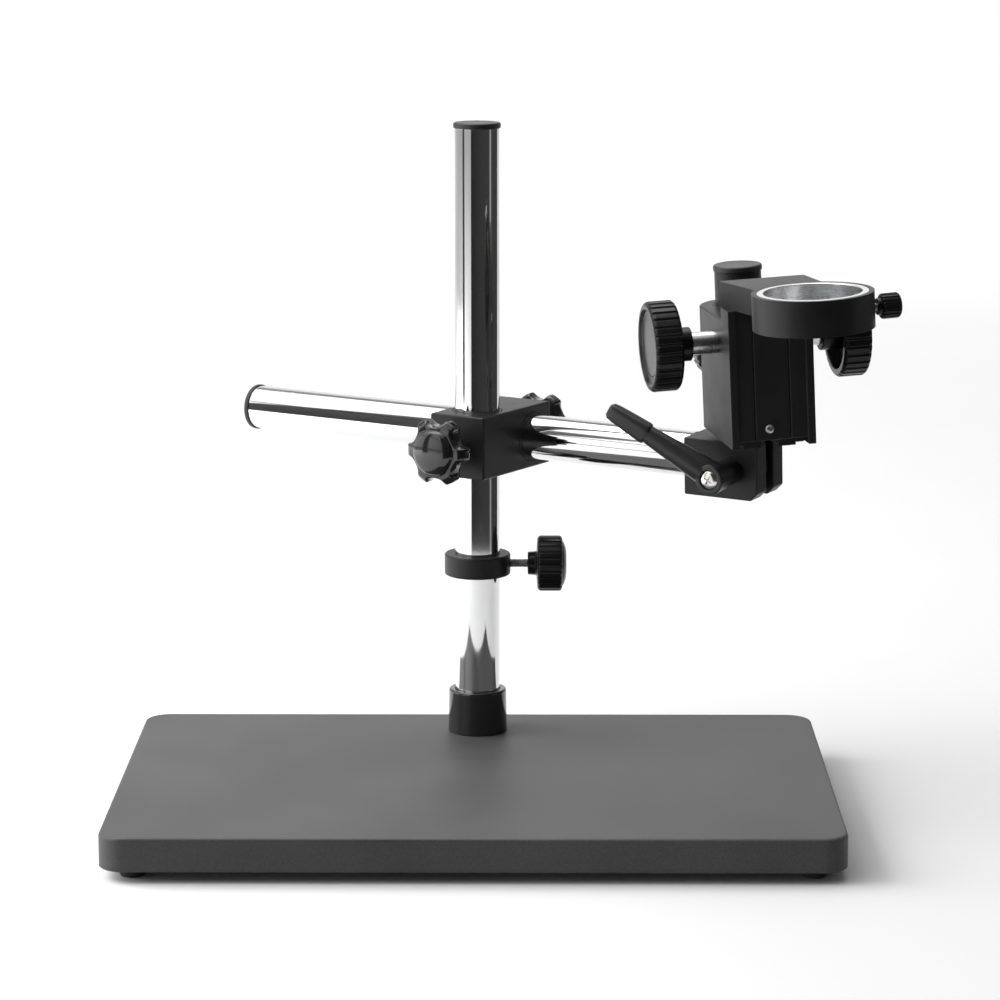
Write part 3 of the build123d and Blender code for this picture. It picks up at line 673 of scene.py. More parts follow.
column = {"radius": 12.5, "wall": 2.0, "low": 24.0, "high": 363.0}
ferrule = {"height": 24.5, "top": 16.1, "foot": 16.6, "bore": 12.56, "lip": 13.2}
cap = {"radius": 13.1, "height": 3.0, "dip": 2.86, "dipRadius": 8.6, "skirt": 10.4, "skirtBore": 8.5,
       "skirtEnd": -12.0, "web": -0.5}
columnMesh = pipe(column["radius"], column["radius"] - column["wall"], column["low"], column["high"], 0.4,
                  160)
settle("columnTube", columnMesh, columnPlace, tubeChrome, "stand", ["column_tube"])


def ferrulePiece():
    low = column["low"]
    high = low + ferrule["height"]
    return lathe([(ferrule["bore"], low), (ferrule["foot"], low, 0.3), (ferrule["top"], high, 1.8),
                  (ferrule["lip"], high, 0.4), (ferrule["bore"], high - 0.8, 0.2)], 128, 0.2, True)


def capPiece(below):
    # a flange with a shallow dip in its top; below is the rest of its profile
    return lathe([(0, cap["dip"]), (cap["dipRadius"], cap["dip"], 0.2),
                  (cap["dipRadius"] + 0.6, cap["height"], 0.4),
                  (cap["radius"], cap["height"], 1.3), (cap["radius"], 0.0, 0.3)] + below, 96, 0.2)


def tubeCap():
    skirt, bore, end, web = cap["skirt"], cap["skirtBore"], cap["skirtEnd"], cap["web"]
    return capPiece([(skirt + 0.05, 0.0), (skirt, end, 0.6), (bore, end), (bore, web), (0, web)])


settle("columnFerrule", ferrulePiece(), columnPlace, phenolic, "stand", ["ferrule"])
settle("columnCap", tubeCap(), shifted(columnPlace, z=column["high"]), capPlastic, "stand",
       ["column_cap"])
print("stand made")


thumb = {"studRadius": 2.5, "bare": 9.6, "hubRadius": 6.4, "hubLength": 5.4, "radius": 15.5, "length": 14.0,
         "dome": 2.4,
         "ribs": 26, "flute": 0.95, "pitch": 0.9, "hole": 2.55}


def thumbKnob(seat):
    hub = seat + thumb["bare"]
    low = hub + thumb["hubLength"]
    high = low + thumb["length"]
    r = thumb["radius"]
    points = [(0, low + 6), (thumb["hole"], low + 6), (thumb["hole"], hub, 0.3),
              (thumb["hubRadius"], hub, 0.7), (thumb["hubRadius"] + 0.3, low - 0.6, 0.8),
              (r - 1.6, low, 0.5), (r, low + 1.1, 0.8), (r, low + 4), (r, low + 9), (r, high - 1.1, 0.8),
              (r - 1.6, high, 0.5),
              (r - 2.9, high, 0.3), (r - 3.4, high + 0.6, 0.6), (r - 7, high + thumb["dome"] - 0.25, 2.0),
              (0, high + thumb["dome"])]
    return fluted(lathe(points, thumb["ribs"] * 12, 0.3), thumb["ribs"], r, r + 0.3, thumb["flute"],
                  r - 2.4, 0.25, ribbedPlastic)


def thumbStud(tip, seat, finish):
    high = seat + thumb["bare"] + thumb["hubLength"] + 6
    return threaded(thumb["studRadius"], tip, high, thumb["pitch"], tip + 1.5, finish)


collar = {"low": 114.0, "high": 126.0, "radius": 18.4, "bore": 12.58, "soft": 1.3, "tip": 12.8}
lock = {"seat": 21.0, "tip": 13.9}


def collarPiece():
    low, high, r, bore = collar["low"], collar["high"], collar["radius"], collar["bore"]
    body = lathe([(bore, low), (r, low, collar["soft"]), (r, high, collar["soft"]), (bore, high)], 160,
                 0.35, True)
    return carved(body, cuts=[lifted(alongX(rod(thumb["hole"], 10, 22)), z=(low + high) / 2)])


settle("safetyCollar", collarPiece(), columnPlace, satin, "collar", ["safety_collar"])
settle("collarStud", thumbStud(collar["tip"], collar["radius"], steelCollar), collarScrewPlace, steelCollar,
       "collar_screw", ["collar_stud"])
settle("collarKnob", thumbKnob(collar["radius"]), collarScrewPlace, ribbedPlastic,
       "collar_screw", ["collar_knob"])
settle("lockStud", thumbStud(lock["tip"], lock["seat"], steelCollar), lockPlace, steelCollar,
       "lock_screw", ["lock_stud"])
settle("lockKnob", thumbKnob(lock["seat"]), lockPlace, ribbedPlastic, "lock_screw",
       ["lock_knob"])
print("collar made")


block = {"width": 35.0, "front": 21.0, "back": 49.0, "height": 35.0, "soft": 1.2, "spacing": 30.0,
         "bore": 13.6,
         "padHole": 3.65, "padDepth": 17.6}
liner = {"outer": 13.55, "inner": 12.55, "soft": 0.2}
star = {"radius": 18.8, "thickness": 10.0, "lobes": 6, "reach": 22.6, "flute": 8.0, "dome": 4.6,
        "domeRadius": 12.6, "standOff": 4.5,
        "bossRadius": 8.0, "bossLength": 9.0, "softness": 1.6, "turn": 30.0, "hole": 3.05, "stud": 3.0,
        "tip": 16.25}


def flaredRod(radius, low, high, flare):
    # a cutter that also leaves a small chamfer at both mouths
    mouth = radius + flare + 1
    return lathe([(0, low - 1), (mouth, low - 1), (mouth, low - 0.999), (radius, low + flare),
                  (radius, high - flare),
                  (mouth, high + 0.999), (mouth, high + 1), (0, high + 1)], 128, 0.0)


def linerPiece(low, high):
    return pipe(liner["outer"], liner["inner"], low, high, liner["soft"])


def blockPiece():
    half = block["width"] / 2
    tall = block["height"] / 2
    body = carved(box(-half, half, -block["front"], block["back"], -tall, tall), bevel=block["soft"])
    bores = [flaredRod(block["bore"], -tall, tall, 0.5),
             lifted(alongX(flaredRod(block["bore"], -half, half, 0.5)), y=block["spacing"])]
    for radius, reach in ((star["hole"], 40), (block["padHole"], block["padDepth"])):
        bores += [alongMinusY(rod(radius, 0, reach)), lifted(alongPlusY(rod(radius, 0, reach)),
                                                             y=block["spacing"])]
    return carved(body, cuts=bores)


settle("crossBlock", blockPiece(), blockPlace, satin, "block", ["cross_block"])
settle("columnLiner", linerPiece(-block["height"] / 2, block["height"] / 2), blockPlace, linerNylon,
       "height_liner", ["column_liner"])
settle("boomLiner", alongX(linerPiece(-block["width"] / 2, block["width"] / 2)),
       shifted(blockPlace, y=block["spacing"]), linerNylon,
       "roll_liner", ["boom_liner"])


def starKnob(seat):
    boss = seat + star["standOff"]
    low = boss + star["bossLength"]
    high = low + star["thickness"]
    r = star["radius"]
    points = [(0, low + 6), (star["hole"], low + 6), (star["hole"], boss, 0.3),
              (star["bossRadius"], boss, 0.8), (star["bossRadius"] + 0.4, low - 0.4, 0.7),
              (star["bossRadius"] + 2.5, low, 0.4), (13.2, low + 0.05, 0.1), (r - 1.3, low + 0.3, 0.6),
              (r, low + 2.2, 1.6), (r, low + 5),
              (r, high - 3.0, 2.2), (r - 2.6, high - 0.35, 1.4), (star["domeRadius"] + 0.9, high, 0.4),
              (star["domeRadius"], high + 0.3, 0.5)]
    points += [(star["domeRadius"] * math.cos(a), high + 0.4 + (star["dome"] - 0.4) * math.sin(a), 0.0)
               for a in [math.radians(12 + 78 * k / 9) for k in range(9)]]
    points += [(0, high + star["dome"])]
    grip = fluted(lathe(points, star["lobes"] * 40, 0.3), star["lobes"], r, star["reach"], star["flute"],
                  star["domeRadius"] - 1.2,
                  star["softness"], phenolic)
    return at(grip, Matrix.Rotation(math.radians(star["turn"]), 4, "Z"))


def starStud(seat):
    high = seat + star["standOff"] + star["bossLength"] + 6
    return threaded(star["stud"], star["tip"], high, 1.0, star["tip"] + 1.25, steelStar)


columnStarPlace = turned(blockPlace, 90, "X")
boomStarPlace = turned(shifted(blockPlace, y=block["spacing"]), -90, "X")
settle("columnStarStud", starStud(block["front"]), columnStarPlace, steelStar, "column_star",
       ["column_star_stud"])
settle("columnStarKnob", starKnob(block["front"]), columnStarPlace, phenolic, "column_star",
       ["column_star_knob"])
settle("boomStarStud", starStud(block["back"] - block["spacing"]), boomStarPlace, steelStar,
       "boom_star", ["boom_star_stud"])
settle("boomStarKnob", starKnob(block["back"] - block["spacing"]), boomStarPlace, phenolic,
       "boom_star", ["boom_star_knob"])
print("cross block made")


boom = {"radius": 12.5, "wall": 2.0, "left": -171.4, "right": 123.0, "spigot": 10.45, "spigotLength": 24.0}
tilt = {"length": 44.5, "depth": 30.0, "below": 19.0, "above": 12.5, "chamfer": 4.0, "topChamfer": 2.0,
        "slot": 8.0, "slotLeft": 14.0, "reach": 152.0,
        "drop": 3.2, "bolt": 4.05}

boomMesh = alongX(pipe(boom["radius"], boom["radius"] - boom["wall"], boom["left"], boom["right"], 0.4,
                       160))
settle("boomTube", boomMesh, boomPlace, tubeChrome, "boom", ["boom_tube"])
settle("boomCap", tubeCap(), turned(shifted(boomPlace, x=boom["left"]), -90, "Y"), capPlastic,
       "boom", ["boom_cap"])


def tiltPiece():
    left, right, half = boom["right"], boom["right"] + tilt["length"], tilt["depth"] / 2
    side = [(left, -tilt["below"]), (right - tilt["chamfer"], -tilt["below"]),
            (right, -tilt["below"] + tilt["chamfer"]),
            (right, tilt["above"] - tilt["topChamfer"]), (right - tilt["topChamfer"], tilt["above"]),
            (left, tilt["above"])]
    body = alongMinusY(prism(side, -half, half))
    spigot = alongX(rod(boom["spigot"], left - boom["spigotLength"], left + 1))
    slotHalf = tilt["slot"] / 2
    slot = box(left + tilt["slotLeft"], right + 5, -slotHalf, slotHalf, -tilt["below"] - 5,
               tilt["above"] + 5)
    hole = lifted(alongMinusY(rod(tilt["bolt"], -30, 30)), x=tilt["reach"], z=-tilt["drop"])
    return carved(carved(body, cuts=[slot], bevel=0.7), adds=[spigot], cuts=[hole])


settle("tiltBlock", tiltPiece(), boomPlace, satin, "boom", ["tilt_block"])


def hexNut(radius, height, bore):
    # a prism cut by a crown, which rounds off its corners; radius is to the corners
    outline = [(radius * math.cos(math.radians(60 * k)),
                radius * math.sin(math.radians(60 * k))) for k in range(6)]
    face, full, bevel = radius - 0.75, radius + 0.3, 0.62
    crown = lathe([(0, -1), (face, -1), (face, 0), (full, bevel), (full, height - bevel), (face, height),
                   (face, height + 1),
                   (0, height + 1)], 96, 0.0)
    holder = thing("nut", prism(outline, 0, height))
    tool = thing("crown", crown)
    change = holder.modifiers.new("crown", "BOOLEAN")
    change.operation = "INTERSECT"
    change.object = tool
    mesh = baked(holder)
    bpy.data.objects.remove(tool)
    return carved(mesh, cuts=[rod(bore, -1, height + 1)])


nutPlace = turned(shifted(tiltPlace, y=tilt["depth"] / 2), -90, "X")
settle("tiltNut", hexNut(7.4, 6.4, tilt["bolt"]), nutPlace, nickel, "boom", ["tilt_nut"])

lever = {"hub": 8.2, "hubTip": 7.0, "length": 25.0, "reach": 68.0, "rise": 30.7, "splay": 10.0,
         "root": 17.5}
leverPlace = turned(axesAt(tiltPlace @ Vector((0, -tilt["depth"] / 2 - 0.3, 0)), heading("boom_reach"),
                           heading("lever_swing")),
                    -lever["rise"], "Z")


def sweptBar(sections, steps=32):
    # skins sections (along, half width, half height, squareness) laid out on -x
    vertices = []
    for along, wide, high, square in sections:
        for step in range(steps):
            angle = 2 * math.pi * step / steps
            c, s = math.cos(angle), math.sin(angle)
            power = 2.0 / square
            vertices.append((-along, math.copysign(abs(c) ** power, c) * wide,
                             math.copysign(abs(s) ** power, s) * high))
    faces = [tuple(range(steps)), tuple(range(steps * (len(sections) - 1), steps * len(sections)))]
    for k in range(len(sections) - 1):
        faces += [(k * steps + i, k * steps + (i + 1) % steps, (k + 1) * steps + (i + 1) % steps,
                   (k + 1) * steps + i)
                  for i in range(steps)]
    return meshFrom("bar", vertices, faces)


def leverPiece():
    reach = lever["reach"]
    sections = [(1.0, 7.9, 7.2, 2.0), (8, 7.5, 6.9, 2.1), (18, 6.8, 6.2, 2.2), (30, 5.8, 5.4, 2.3),
                (reach * 0.6, 5.0, 4.6, 2.4),
                (reach * 0.63, 4.85, 4.4, 2.4), (reach * 0.64, 5.5, 4.6, 3.4),
                (reach * 0.66, 5.6, 4.65, 3.8), (reach * 0.8, 5.2, 4.3, 3.8),
                (reach * 0.93, 4.7, 3.8, 3.8), (reach * 0.98, 4.3, 3.4, 3.4), (reach, 3.2, 2.4, 2.6)]
    lean = Matrix.Translation((0, 0, lever["root"])) @ Matrix.Rotation(math.radians(lever["splay"]), 4, "Y")
    arm = at(sweptBar(sections, 40), lean)
    hub = lathe([(0, 0), (lever["hubTip"], 0, 0.4), (lever["hub"], lever["length"], 1.2),
                 (5.35, lever["length"], 0.4),
                 (5.3, 15.4), (0, 15.4)], 96, 0.2)
    pocket = lathe([(0, -2), (5.0, -2), (5.0, 12.1), (2.9, 12.1), (2.9, 15.0), (5.3, 15.6), (5.3, 40),
                    (0, 40)], 64, 0.0)
    return carved(hub, adds=[arm], cuts=[pocket])


settle("leverHandle", leverPiece(), leverPlace, leverPaint, "lever", ["lever_handle"])


def crossScrew(radius, seat, height, size, depth):
    # a domed screw head with a cross recess that widens towards its mouth
    head = lathe([(0, seat), (radius, seat, 0.2), (radius, seat + height * 0.35, 0.4),
                  (radius * 0.72, seat + height * 0.82, 1.4),
                  (0, seat + height)], 72, 0.3)
    half, wall = size * 0.35, 0.42
    recess = []
    for turn in (0, 90):
        slot = box(-half, half, -wall, wall, seat + height - depth, seat + 9)
        for vertex in slot.vertices:
            if vertex.co.z > seat + 5:
                vertex.co.x *= 2.4
        recess.append(at(slot, Matrix.Rotation(math.radians(turn), 4, "Z")))
    return carved(head, cuts=recess)


leverScrewMesh = carved(crossScrew(5.15, 23.6, 2.2, 5.0, 3.4), adds=[rod(2.5, 3.0, 23.8)])
settle("leverScrew", leverScrewMesh, leverPlace, nickel, "lever", ["lever_screw"])
print("boom made")


post = {"radius": 12.5, "foot": 21.2, "top": 106.7, "tongue": 11.9, "swivel": 42.35}


def postPiece():
    half = tilt["slot"] / 2 - 0.3
    r = post["tongue"]
    outline = arc(0, 0, r, 180, 360, 32) + [(r, post["foot"] + 1), (-r, post["foot"] + 1)]
    tongue = alongMinusY(prism(outline, -half, half))
    tongue = carved(tongue, cuts=[alongMinusY(rod(tilt["bolt"], -10, 10))])
    at(tongue, Matrix.Rotation(-math.radians(post["swivel"]), 4, "Z"))
    stem = lathe([(0, post["foot"]), (post["radius"], post["foot"], 0.8), (post["radius"], post["top"]),
                  (0, post["top"])], 128, 0.3)
    return carved(stem, adds=[tongue])


settle("headPost", postPiece(), headPlace, satin, "post", ["head_post"])
settle("postCap", capPiece([(0, 0.0)]), shifted(headPlace, z=post["top"]), capPlastic, "post",
       ["post_cap"])
housing = {"low": 21.5, "high": 88.3, "radius": 21.0, "half": 20.5, "front": 52.1, "wayRoot": 11.0,
           "wayTip": 14.0, "wayLength": 6.0, "wayTop": 80.0,
           "shaftForward": 32.7, "shaftHeight": 74.7, "gearRoom": 11.3, "rackRoom": 4.6}
sleeve = {"radius": 6.0, "bore": 4.05, "inner": 7.5, "outer": 34.3}


def housingPiece():
    h = housing
    side = math.degrees(math.acos(h["half"] / h["radius"]))
    tip = -h["front"] - h["wayLength"]
    outline = arc(0, 0, h["radius"], side, 180 - side, 48) + [(-h["half"], -h["front"]),
                                                              (h["half"], -h["front"])]
    body = carved(prism(outline, h["low"], h["high"]), bevel=0.8)
    tongue = [(-h["wayRoot"], -h["front"] + 1), (-h["wayRoot"], -h["front"]), (-h["wayTip"], tip),
              (h["wayTip"], tip),
              (h["wayRoot"], -h["front"]), (h["wayRoot"], -h["front"] + 1)]
    body = carved(body, adds=[prism(tongue, h["low"] + 0.05, h["wayTop"])])
    cuts = [flaredRod(block["bore"], h["low"], h["high"], 0.4)]
    for radius, half in ((h["gearRoom"], sleeve["inner"]), (sleeve["radius"] + 0.05, 30)):
        cuts.append(lifted(alongX(rod(radius, -half, half)), y=-h["shaftForward"], z=h["shaftHeight"]))
    cuts.append(box(-h["rackRoom"], h["rackRoom"], tip - 5, -39.7, h["low"] - 5, h["high"] + 5))
    cuts.append(lifted(alongPlusY(rod(thumb["hole"], 0, 30)), z=55))
    return carved(body, cuts=cuts)


settle("postLiner", linerPiece(housing["low"], housing["high"]), headPlace, linerNylon,
       "swivel_liner", ["post_liner"])
settle("focusHousing", housingPiece(), headPlace, satin, "focus_housing", ["focus_body"])
sleeves = [pipe(sleeve["radius"], sleeve["bore"], side * sleeve["inner"], side * sleeve["outer"], 0.3,
                96) for side in (1, -1)]
settle("shaftSleeves", carved(sleeves[0], adds=[sleeves[1]]), shaftPlace, steelShaft,
       "focus_housing", ["shaft_bushes"])

pinion = {"teeth": 18, "root": 7.8, "tip": 9.9, "width": 12.0, "shaft": 4.0, "reach": 53.8}


def pinionPiece():
    half = pinion["width"] / 2
    outline = [(pinion["root"] - 0.6, -1.05), (pinion["root"] - 0.6, 1.05), (8.3, 0.98), (9.0, 0.72),
               (9.5, 0.5), (pinion["tip"], 0.28),
               (pinion["tip"], -0.28), (9.5, -0.5), (9.0, -0.72), (8.3, -0.98)]
    tooth = prism(outline, -half, half)
    teeth = grown(around, tooth, {"Count": pinion["teeth"], "Finish": steelShaft})
    reach = pinion["reach"]
    stem = lathe([(0, -reach), (pinion["shaft"], -reach, 0.5), (pinion["shaft"], -half, 0.2),
                  (pinion["root"], -half, 0.2),
                  (pinion["root"], half, 0.2), (pinion["shaft"], half, 0.2), (pinion["shaft"], reach, 0.5),
                  (0, reach)], 96, 0.2)
    at(teeth, Matrix.Rotation(math.radians(-90), 4, "Z"))
    return carved(stem, adds=[teeth])


settle("pinionShaft", pinionPiece(), shaftPlace, steelShaft, "pinion", ["pinion_shaft"])

knob = {"radius": 23.8, "length": 15.0, "reach": 57.8, "ribs": 32, "flute": 1.15, "faceRadius": 19.6,
        "faceDepth": 1.6,
        "bossRadius": 9.0, "bossLength": 8.0, "bore": 4.05, "hollow": 19.4, "hollowDepth": 9.0}


def focusKnob():
    k = knob
    low = k["reach"] - k["length"]
    high = k["reach"]
    floor = low + k["hollowDepth"]
    r = k["radius"]
    points = [(0, high - 3.8), (k["bore"], high - 3.8), (k["bore"], low - k["bossLength"], 0.3),
              (k["bossRadius"], low - k["bossLength"], 0.7),
              (k["bossRadius"], floor, 1.2), (k["hollow"], floor, 1.2), (k["hollow"], low, 0.5),
              (r - 1.3, low, 0.4), (r, low + 1.2, 0.9),
              (r, low + 4), (r, high - 4), (r, high - 1.4, 1.0), (r - 1.5, high, 0.7),
              (k["faceRadius"] + 0.6, high, 0.5),
              (k["faceRadius"] - 0.9, high - k["faceDepth"], 0.9), (16.0, high - k["faceDepth"] - 0.15),
              (15.4, high - k["faceDepth"] - 0.05, 0.2),
              (8.0, high - k["faceDepth"] + 0.05), (0, high - k["faceDepth"] + 0.1)]
    return fluted(lathe(points, k["ribs"] * 12, 0.3), k["ribs"], r, r + 0.35, k["flute"], r - 2.6, 0.3,
                  ribbedPlastic)


def knobWithHole():
    middle = knob["reach"] - knob["length"] - knob["bossLength"] / 2
    return carved(focusKnob(), cuts=[lifted(alongX(rod(1.55, 0, 12)), z=middle)])


settle("rightFocusKnob", knobWithHole(), shaftPlace, ribbedPlastic, "pinion",
       ["right_focus_knob"])
settle("leftFocusKnob", knobWithHole(), turned(shaftPlace, 180, "X"), ribbedPlastic,
       "pinion", ["left_focus_knob"])

slide = {"half": 22.4, "front": 68.6, "back": 52.4, "low": 27.0, "high": 96.3, "cheek": 4.0, "drop": 3.5,
         "step": 1.4,
         "groove": 9.4, "wayMouth": 11.44, "wayFloor": 14.3, "wayDepth": 58.4, "rackHalf": 4.05,
         "rackBack": 60.25,
         "tenon": 12.0, "tenonBack": 58.0, "tenonFront": 65.0, "screwAside": -2.0, "screwLow": 33.0,
         "screwHigh": 90.3}


def slidePiece():
    s = slide
    face = -s["front"] + s["step"]
    inner = s["half"] - s["cheek"]
    rack, floor, deep = s["rackHalf"], -s["wayDepth"], -s["rackBack"]
    left = [(-s["wayMouth"], -s["back"]), (-s["half"], -s["back"]), (-s["half"], -s["front"]),
            (-inner, -s["front"]), (-inner, face),
            (-s["groove"] - 0.5, face), (-s["groove"], face + 0.8), (-s["groove"] + 0.5, face)]
    right = [(-x, y) for x, y in reversed(left)]
    way = [(s["wayFloor"], floor), (rack, floor), (rack, deep), (-rack, deep), (-rack, floor),
           (-s["wayFloor"], floor)]
    body = prism(left + right + way, s["low"] - s["drop"], s["high"])
    body = carved(body, cuts=[box(-inner, inner, -80, -40, 0, s["low"])], bevel=0.35)
    tenon = box(-s["tenon"], s["tenon"], -s["tenonFront"], -s["tenonBack"], s["high"] - 0.5, s["high"] + 8)
    rackWay = box(-rack, rack, deep, -52, s["high"] - 5, s["high"] + 9)
    holes = [lifted(alongMinusY(rod(1.55, 50, 75)), x=s["screwAside"], z=z) for z in (s["screwLow"],
                                                                                      s["screwHigh"])]
    return carved(body, adds=[tenon], cuts=[rackWay] + holes)


settle("focusSlide", slidePiece(), headPlace, satin, "carriage", ["slider"])

slideScrew = alongMinusY(carved(crossScrew(2.4, 67.2, 1.5, 3.0, 0.9), adds=[rod(1.5, 53.5, 67.4)]))
lifted(slideScrew, x=slide["screwAside"])
pair = grown(spread, at(slideScrew, Matrix.Rotation(math.pi / 2, 4, "Y")),
             {"Width": slide["screwHigh"] - slide["screwLow"], "Depth": 0.0, "Columns": 2, "Rows": 1,
              "Finish": nickel})
at(pair, Matrix.Rotation(-math.pi / 2, 4, "Y"))
lifted(pair, z=(slide["screwLow"] + slide["screwHigh"]) / 2)
settle("slideScrews", pair, headPlace, steelStar, "carriage", ["rack_screws"])
print("focusing head made")


ring = {"x": 12.9, "forward": 106.3, "radius": 31.0, "height": 18.5, "sleeve": 28.4, "bore": 25.0,
        "top": 109.9, "soft": 0.5,
        "screwAside": 7.0, "screwUp": 4.0, "screwHole": 2.05, "headHole": 3.7, "play": 0.05}


def armPiece():
    x, y = ring["x"], -ring["forward"]
    r = ring["radius"]
    low, high, play = ring["top"] - ring["height"], ring["top"], ring["play"]
    # the arm widens from the slide to the sides of the drum
    outline = [(-slide["half"], -slide["back"]), (x - r * 0.83, y + r * 0.55), (x, y),
               (x + r * 0.39, y + r * 0.92),
               (slide["half"], -slide["back"])]
    drum = lifted(rod(r, low, high, 0.0, 192), x=x, y=y)
    body = carved(prism(outline, slide["high"], high), adds=[drum], bevel=ring["soft"])
    seat = lifted(flaredRod(ring["sleeve"] + play, low - 2, high + 2, 0.0), x=x, y=y)
    socket = box(-slide["tenon"] - play, slide["tenon"] + play, -slide["tenonFront"] - play,
                 -slide["tenonBack"] + play,
                 slide["high"] - 1, slide["high"] + 8 + play)
    holes = [lifted(alongMinusY(rod(radius, 50, reach)), x=side * ring["screwAside"],
                    z=slide["high"] + ring["screwUp"])
             for radius, reach in ((ring["screwHole"], 59), (ring["headHole"], 55.4)) for side in (-1, 1)]
    return carved(body, cuts=[seat, socket] + holes)


studHole = at(rod(ring["screwHole"], 27, 34), headPlace.inverted() @ ringScrewPlace)
settle("ringArm", carved(armPiece(), cuts=[studHole]), headPlace, satin, "carriage",
       ["ring_arm"])
sleeveMesh = pipe(ring["sleeve"], ring["bore"], -ring["height"] / 2, ring["height"] / 2, 0.5, 192)
sleeveHole = at(rod(ring["screwHole"], 20, 32), ringPlace.inverted() @ ringScrewPlace)
settle("ringSleeve", carved(sleeveMesh, cuts=[sleeveHole]), ringPlace, bareAlloy,
       "carriage", ["ring_sleeve"])

ringKnob = {"radius": 6.5, "length": 12.0, "start": 33.6, "ribs": 18, "flute": 0.75, "stud": 2.0,
            "tip": 25.3}


def ringKnobPiece():
    r, start, bore = ringKnob["radius"], ringKnob["start"], ring["screwHole"]
    low = start + 2.0
    high = start + ringKnob["length"]
    points = [(0, start + 6.2), (bore, start + 6.2), (bore, start, 0.2), (r - 2.2, start, 0.5),
              (r - 2.2, low, 0.3), (r - 0.9, low, 0.3), (r, low + 0.8, 0.5), (r, low + 3), (r, high - 3),
              (r, high - 0.9, 0.6), (r - 0.9, high, 0.4),
              (r - 2.0, high, 0.3), (r - 2.6, high - 0.4, 0.3), (0, high - 0.3)]
    return fluted(lathe(points, ringKnob["ribs"] * 12, 0.2), ringKnob["ribs"], r, r + 0.22,
                  ringKnob["flute"], r - 1.6, 0.2, ribbedPlastic)


settle("ringKnob", ringKnobPiece(), ringScrewPlace, ribbedPlastic, "ring_screw",
       ["ring_knob"])
ringStudMesh = threaded(ringKnob["stud"], ringKnob["tip"], ringKnob["start"] + 6.0, 0.7,
                        ringKnob["tip"] + 1.2, steelRing)
settle("ringStud", ringStudMesh, ringScrewPlace, steelRing, "ring_screw", ["ring_stud"])
print("ring made")


# hidden solids that stay as built, in their own metals
kept = {"column_plug": steelUp, "column_screw": steelUp, "column_pad": brassMetal, "boom_pad": brassMetal,
        "lever_insert": nickel,
        "lever_spring": nickel, "left_knob_grub": steelShaft, "right_knob_grub": steelShaft,
        "rack": brassMetal, "arm_screws": steelStar}
for node, finish in kept.items():
    solid = frame["nodes"][node]
    solid.data.materials.clear()
    solid.data.materials.append(finish)


studio = {"floorTone": 0.46, "flagRadius": 0.62, "flagHeight": 0.9}


def floorPiece():
    f = Finish("paleFloor")
    mm = f.coords()
    tone = f.mixed(f.noise(mm, 0.004, 2.0), rgb(studio["floorTone"]), rgb(studio["floorTone"] + 0.02))
    f.shade(Base_Color=tone, Roughness=0.8, Specular_IOR_Level=0.2)
    # a flat floor that curves up far behind into a backdrop
    profile = [(-12, 0), (4.5, 0)] + [(4.5 + 1.5 * math.sin(a), 1.5 - 1.5 * math.cos(a)) for a in
                                       [math.radians(9 * k) for k in range(1, 11)]] + [(6.0, 7.0)]
    vertices = [(x, y, z) for y, z in profile for x in (-9, 9)]
    faces = [(2 * k, 2 * k + 1, 2 * k + 3, 2 * k + 2) for k in range(len(profile) - 1)]
    mesh = bpy.data.meshes.new("floor")
    mesh.from_pydata(vertices, [], faces)
    mesh.shade_smooth()
    mesh.materials.append(f.material)
    made = thing("floor", mesh)
    made.visible_diffuse = False


floorPiece()


def flag(name, start, end, low, high, radius, level=0.012):
    # a dark studio flag that only shows in reflections; angles run from straight ahead towards the right
    vertices = []
    steps = 24
    for step in range(steps + 1):
        angle = math.radians(start + (end - start) * step / steps)
        x, y = columnSpot.x + radius * math.sin(angle), columnSpot.y - radius * math.cos(angle)
        vertices += [(x, y, low), (x, y, high)]
    faces = [(2 * k, 2 * k + 2, 2 * k + 3, 2 * k + 1) for k in range(steps)]
    mesh = bpy.data.meshes.new(name)
    mesh.from_pydata(vertices, [], faces)
    f = Finish(name)
    f.shade(Base_Color=rgb(level), Roughness=0.9)
    mesh.materials.append(f.material)
    made = thing(name, mesh)
    made.visible_camera = False
    made.visible_diffuse = False
    made.visible_shadow = False
    made.visible_transmission = False


for name, start, end, level in (("frontFlag", -30, 66, 0.012), ("sideFlag", 76, 122, 0.012),
                                ("greyFlag", 66, 76, 0.12)):
    flag(name, start, end, 0.0, studio["flagHeight"], studio["flagRadius"], level)
flag("leftBatten", -125, -40, 0.62, 0.66, 0.95)
flag("leftPost", -78, -66, 0.0, 1.4, 1.3, 0.12)


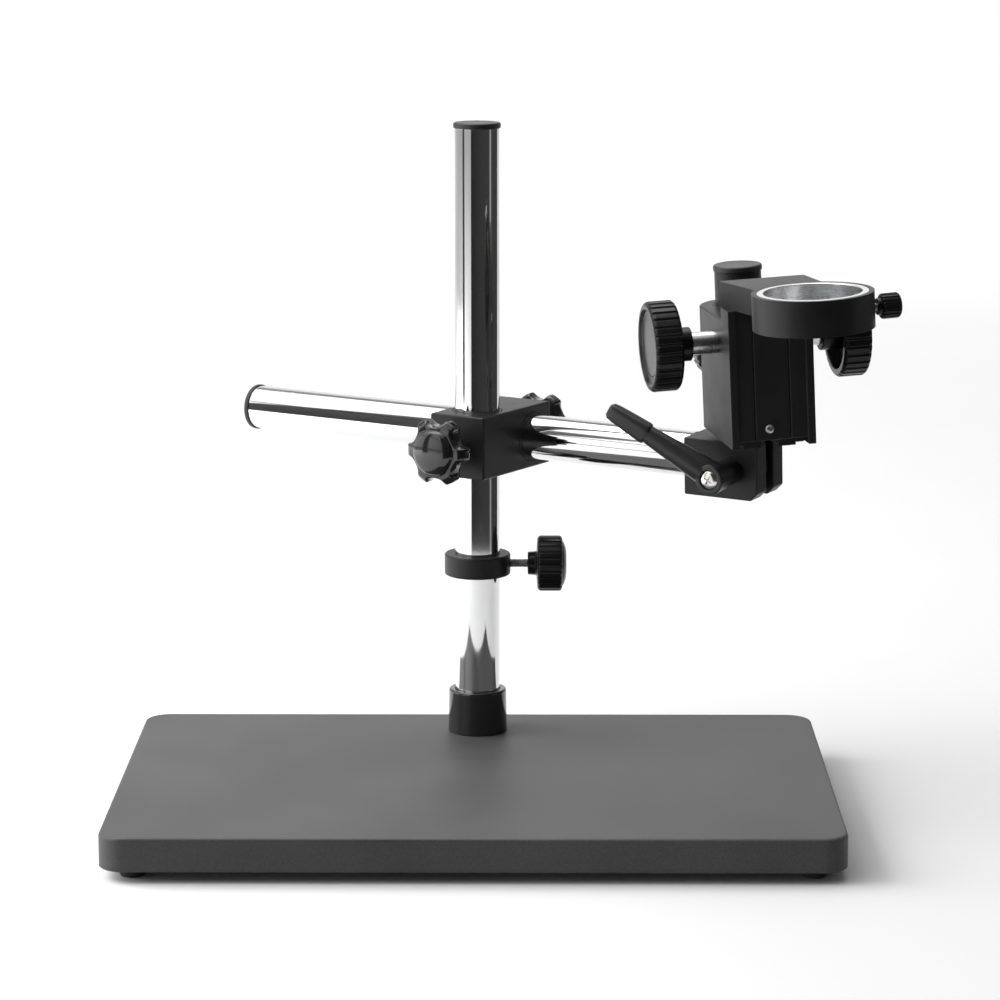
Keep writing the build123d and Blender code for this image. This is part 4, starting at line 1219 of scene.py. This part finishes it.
def lamp(name, place, target, size, power):
    data = bpy.data.lights.new(name, "AREA")
    data.shape = "RECTANGLE"
    data.size, data.size_y = size
    data.energy = power
    made = bpy.data.objects.new(name, data)
    made.location = place
    made.rotation_euler = (Vector(target) - Vector(place)).to_track_quat("-Z", "Y").to_euler()
    bpy.context.scene.collection.objects.link(made)
    return made


lamp("leftLamp", (-1.5, 0.1, 0.9), (0, 0, 0.1), (1.2, 1.6), 68).visible_glossy = False
lamp("floorLamp", (-1.7, -0.9, 1.5), (-1.7, -0.9, 0), (1.6, 1.6), 30).visible_glossy = False
lamp("topLamp", (-0.3, 0.5, 2.0), (0, 0.05, 0.1), (2.0, 1.4), 20)
lamp("backdropLamp", (0.0, 3.0, 3.2), (0, 5.5, 0.8), (4.0, 1.5), 260)
lamp("rightLamp", (1.7, 0.4, 0.9), (0.1, 0, 0.2), (0.5, 1.4), 4)

world = bpy.data.worlds.new("studio")
world.use_nodes = True
sky = world.node_tree
background = sky.nodes["Background"]
direction = sky.nodes.new("ShaderNodeTexCoord")
towards = sky.nodes.new("ShaderNodeVectorMath")
towards.operation = "DOT_PRODUCT"
towards.inputs[1].default_value = (-0.8, 0.25, 0.35)
sky.links.new(direction.outputs["Generated"], towards.inputs[0])
# bright on the left and overhead, dark in front and on the right
lean = sky.nodes.new("ShaderNodeMapRange")
sky.links.new(towards.outputs["Value"], lean.inputs["Value"])
for key, value in {"From Min": -0.2, "From Max": 0.6, "To Min": 0.08, "To Max": 1.5}.items():
    lean.inputs[key].default_value = value
sky.links.new(lean.outputs[0], background.inputs["Strength"])
background.inputs["Color"].default_value = (1, 1, 1, 1)
bpy.context.scene.world = world

view = {"place": (0.00922, -1.81762, 0.51712), "tilt": 79.014, "turn": 0.31, "lens": 122.4}
cameraData = bpy.data.cameras.new("camera")
cameraData.lens = view["lens"]
cameraData.sensor_width = 36.0
cameraData.clip_start = 0.05
cameraData.clip_end = 100.0
camera = bpy.data.objects.new("camera", cameraData)
camera.location = view["place"]
camera.rotation_euler = (math.radians(view["tilt"]), 0.0, math.radians(view["turn"]))
bpy.context.scene.collection.objects.link(camera)
bpy.context.scene.camera = camera
bpy.context.scene.view_settings.view_transform = "Standard"

print("scene ready")
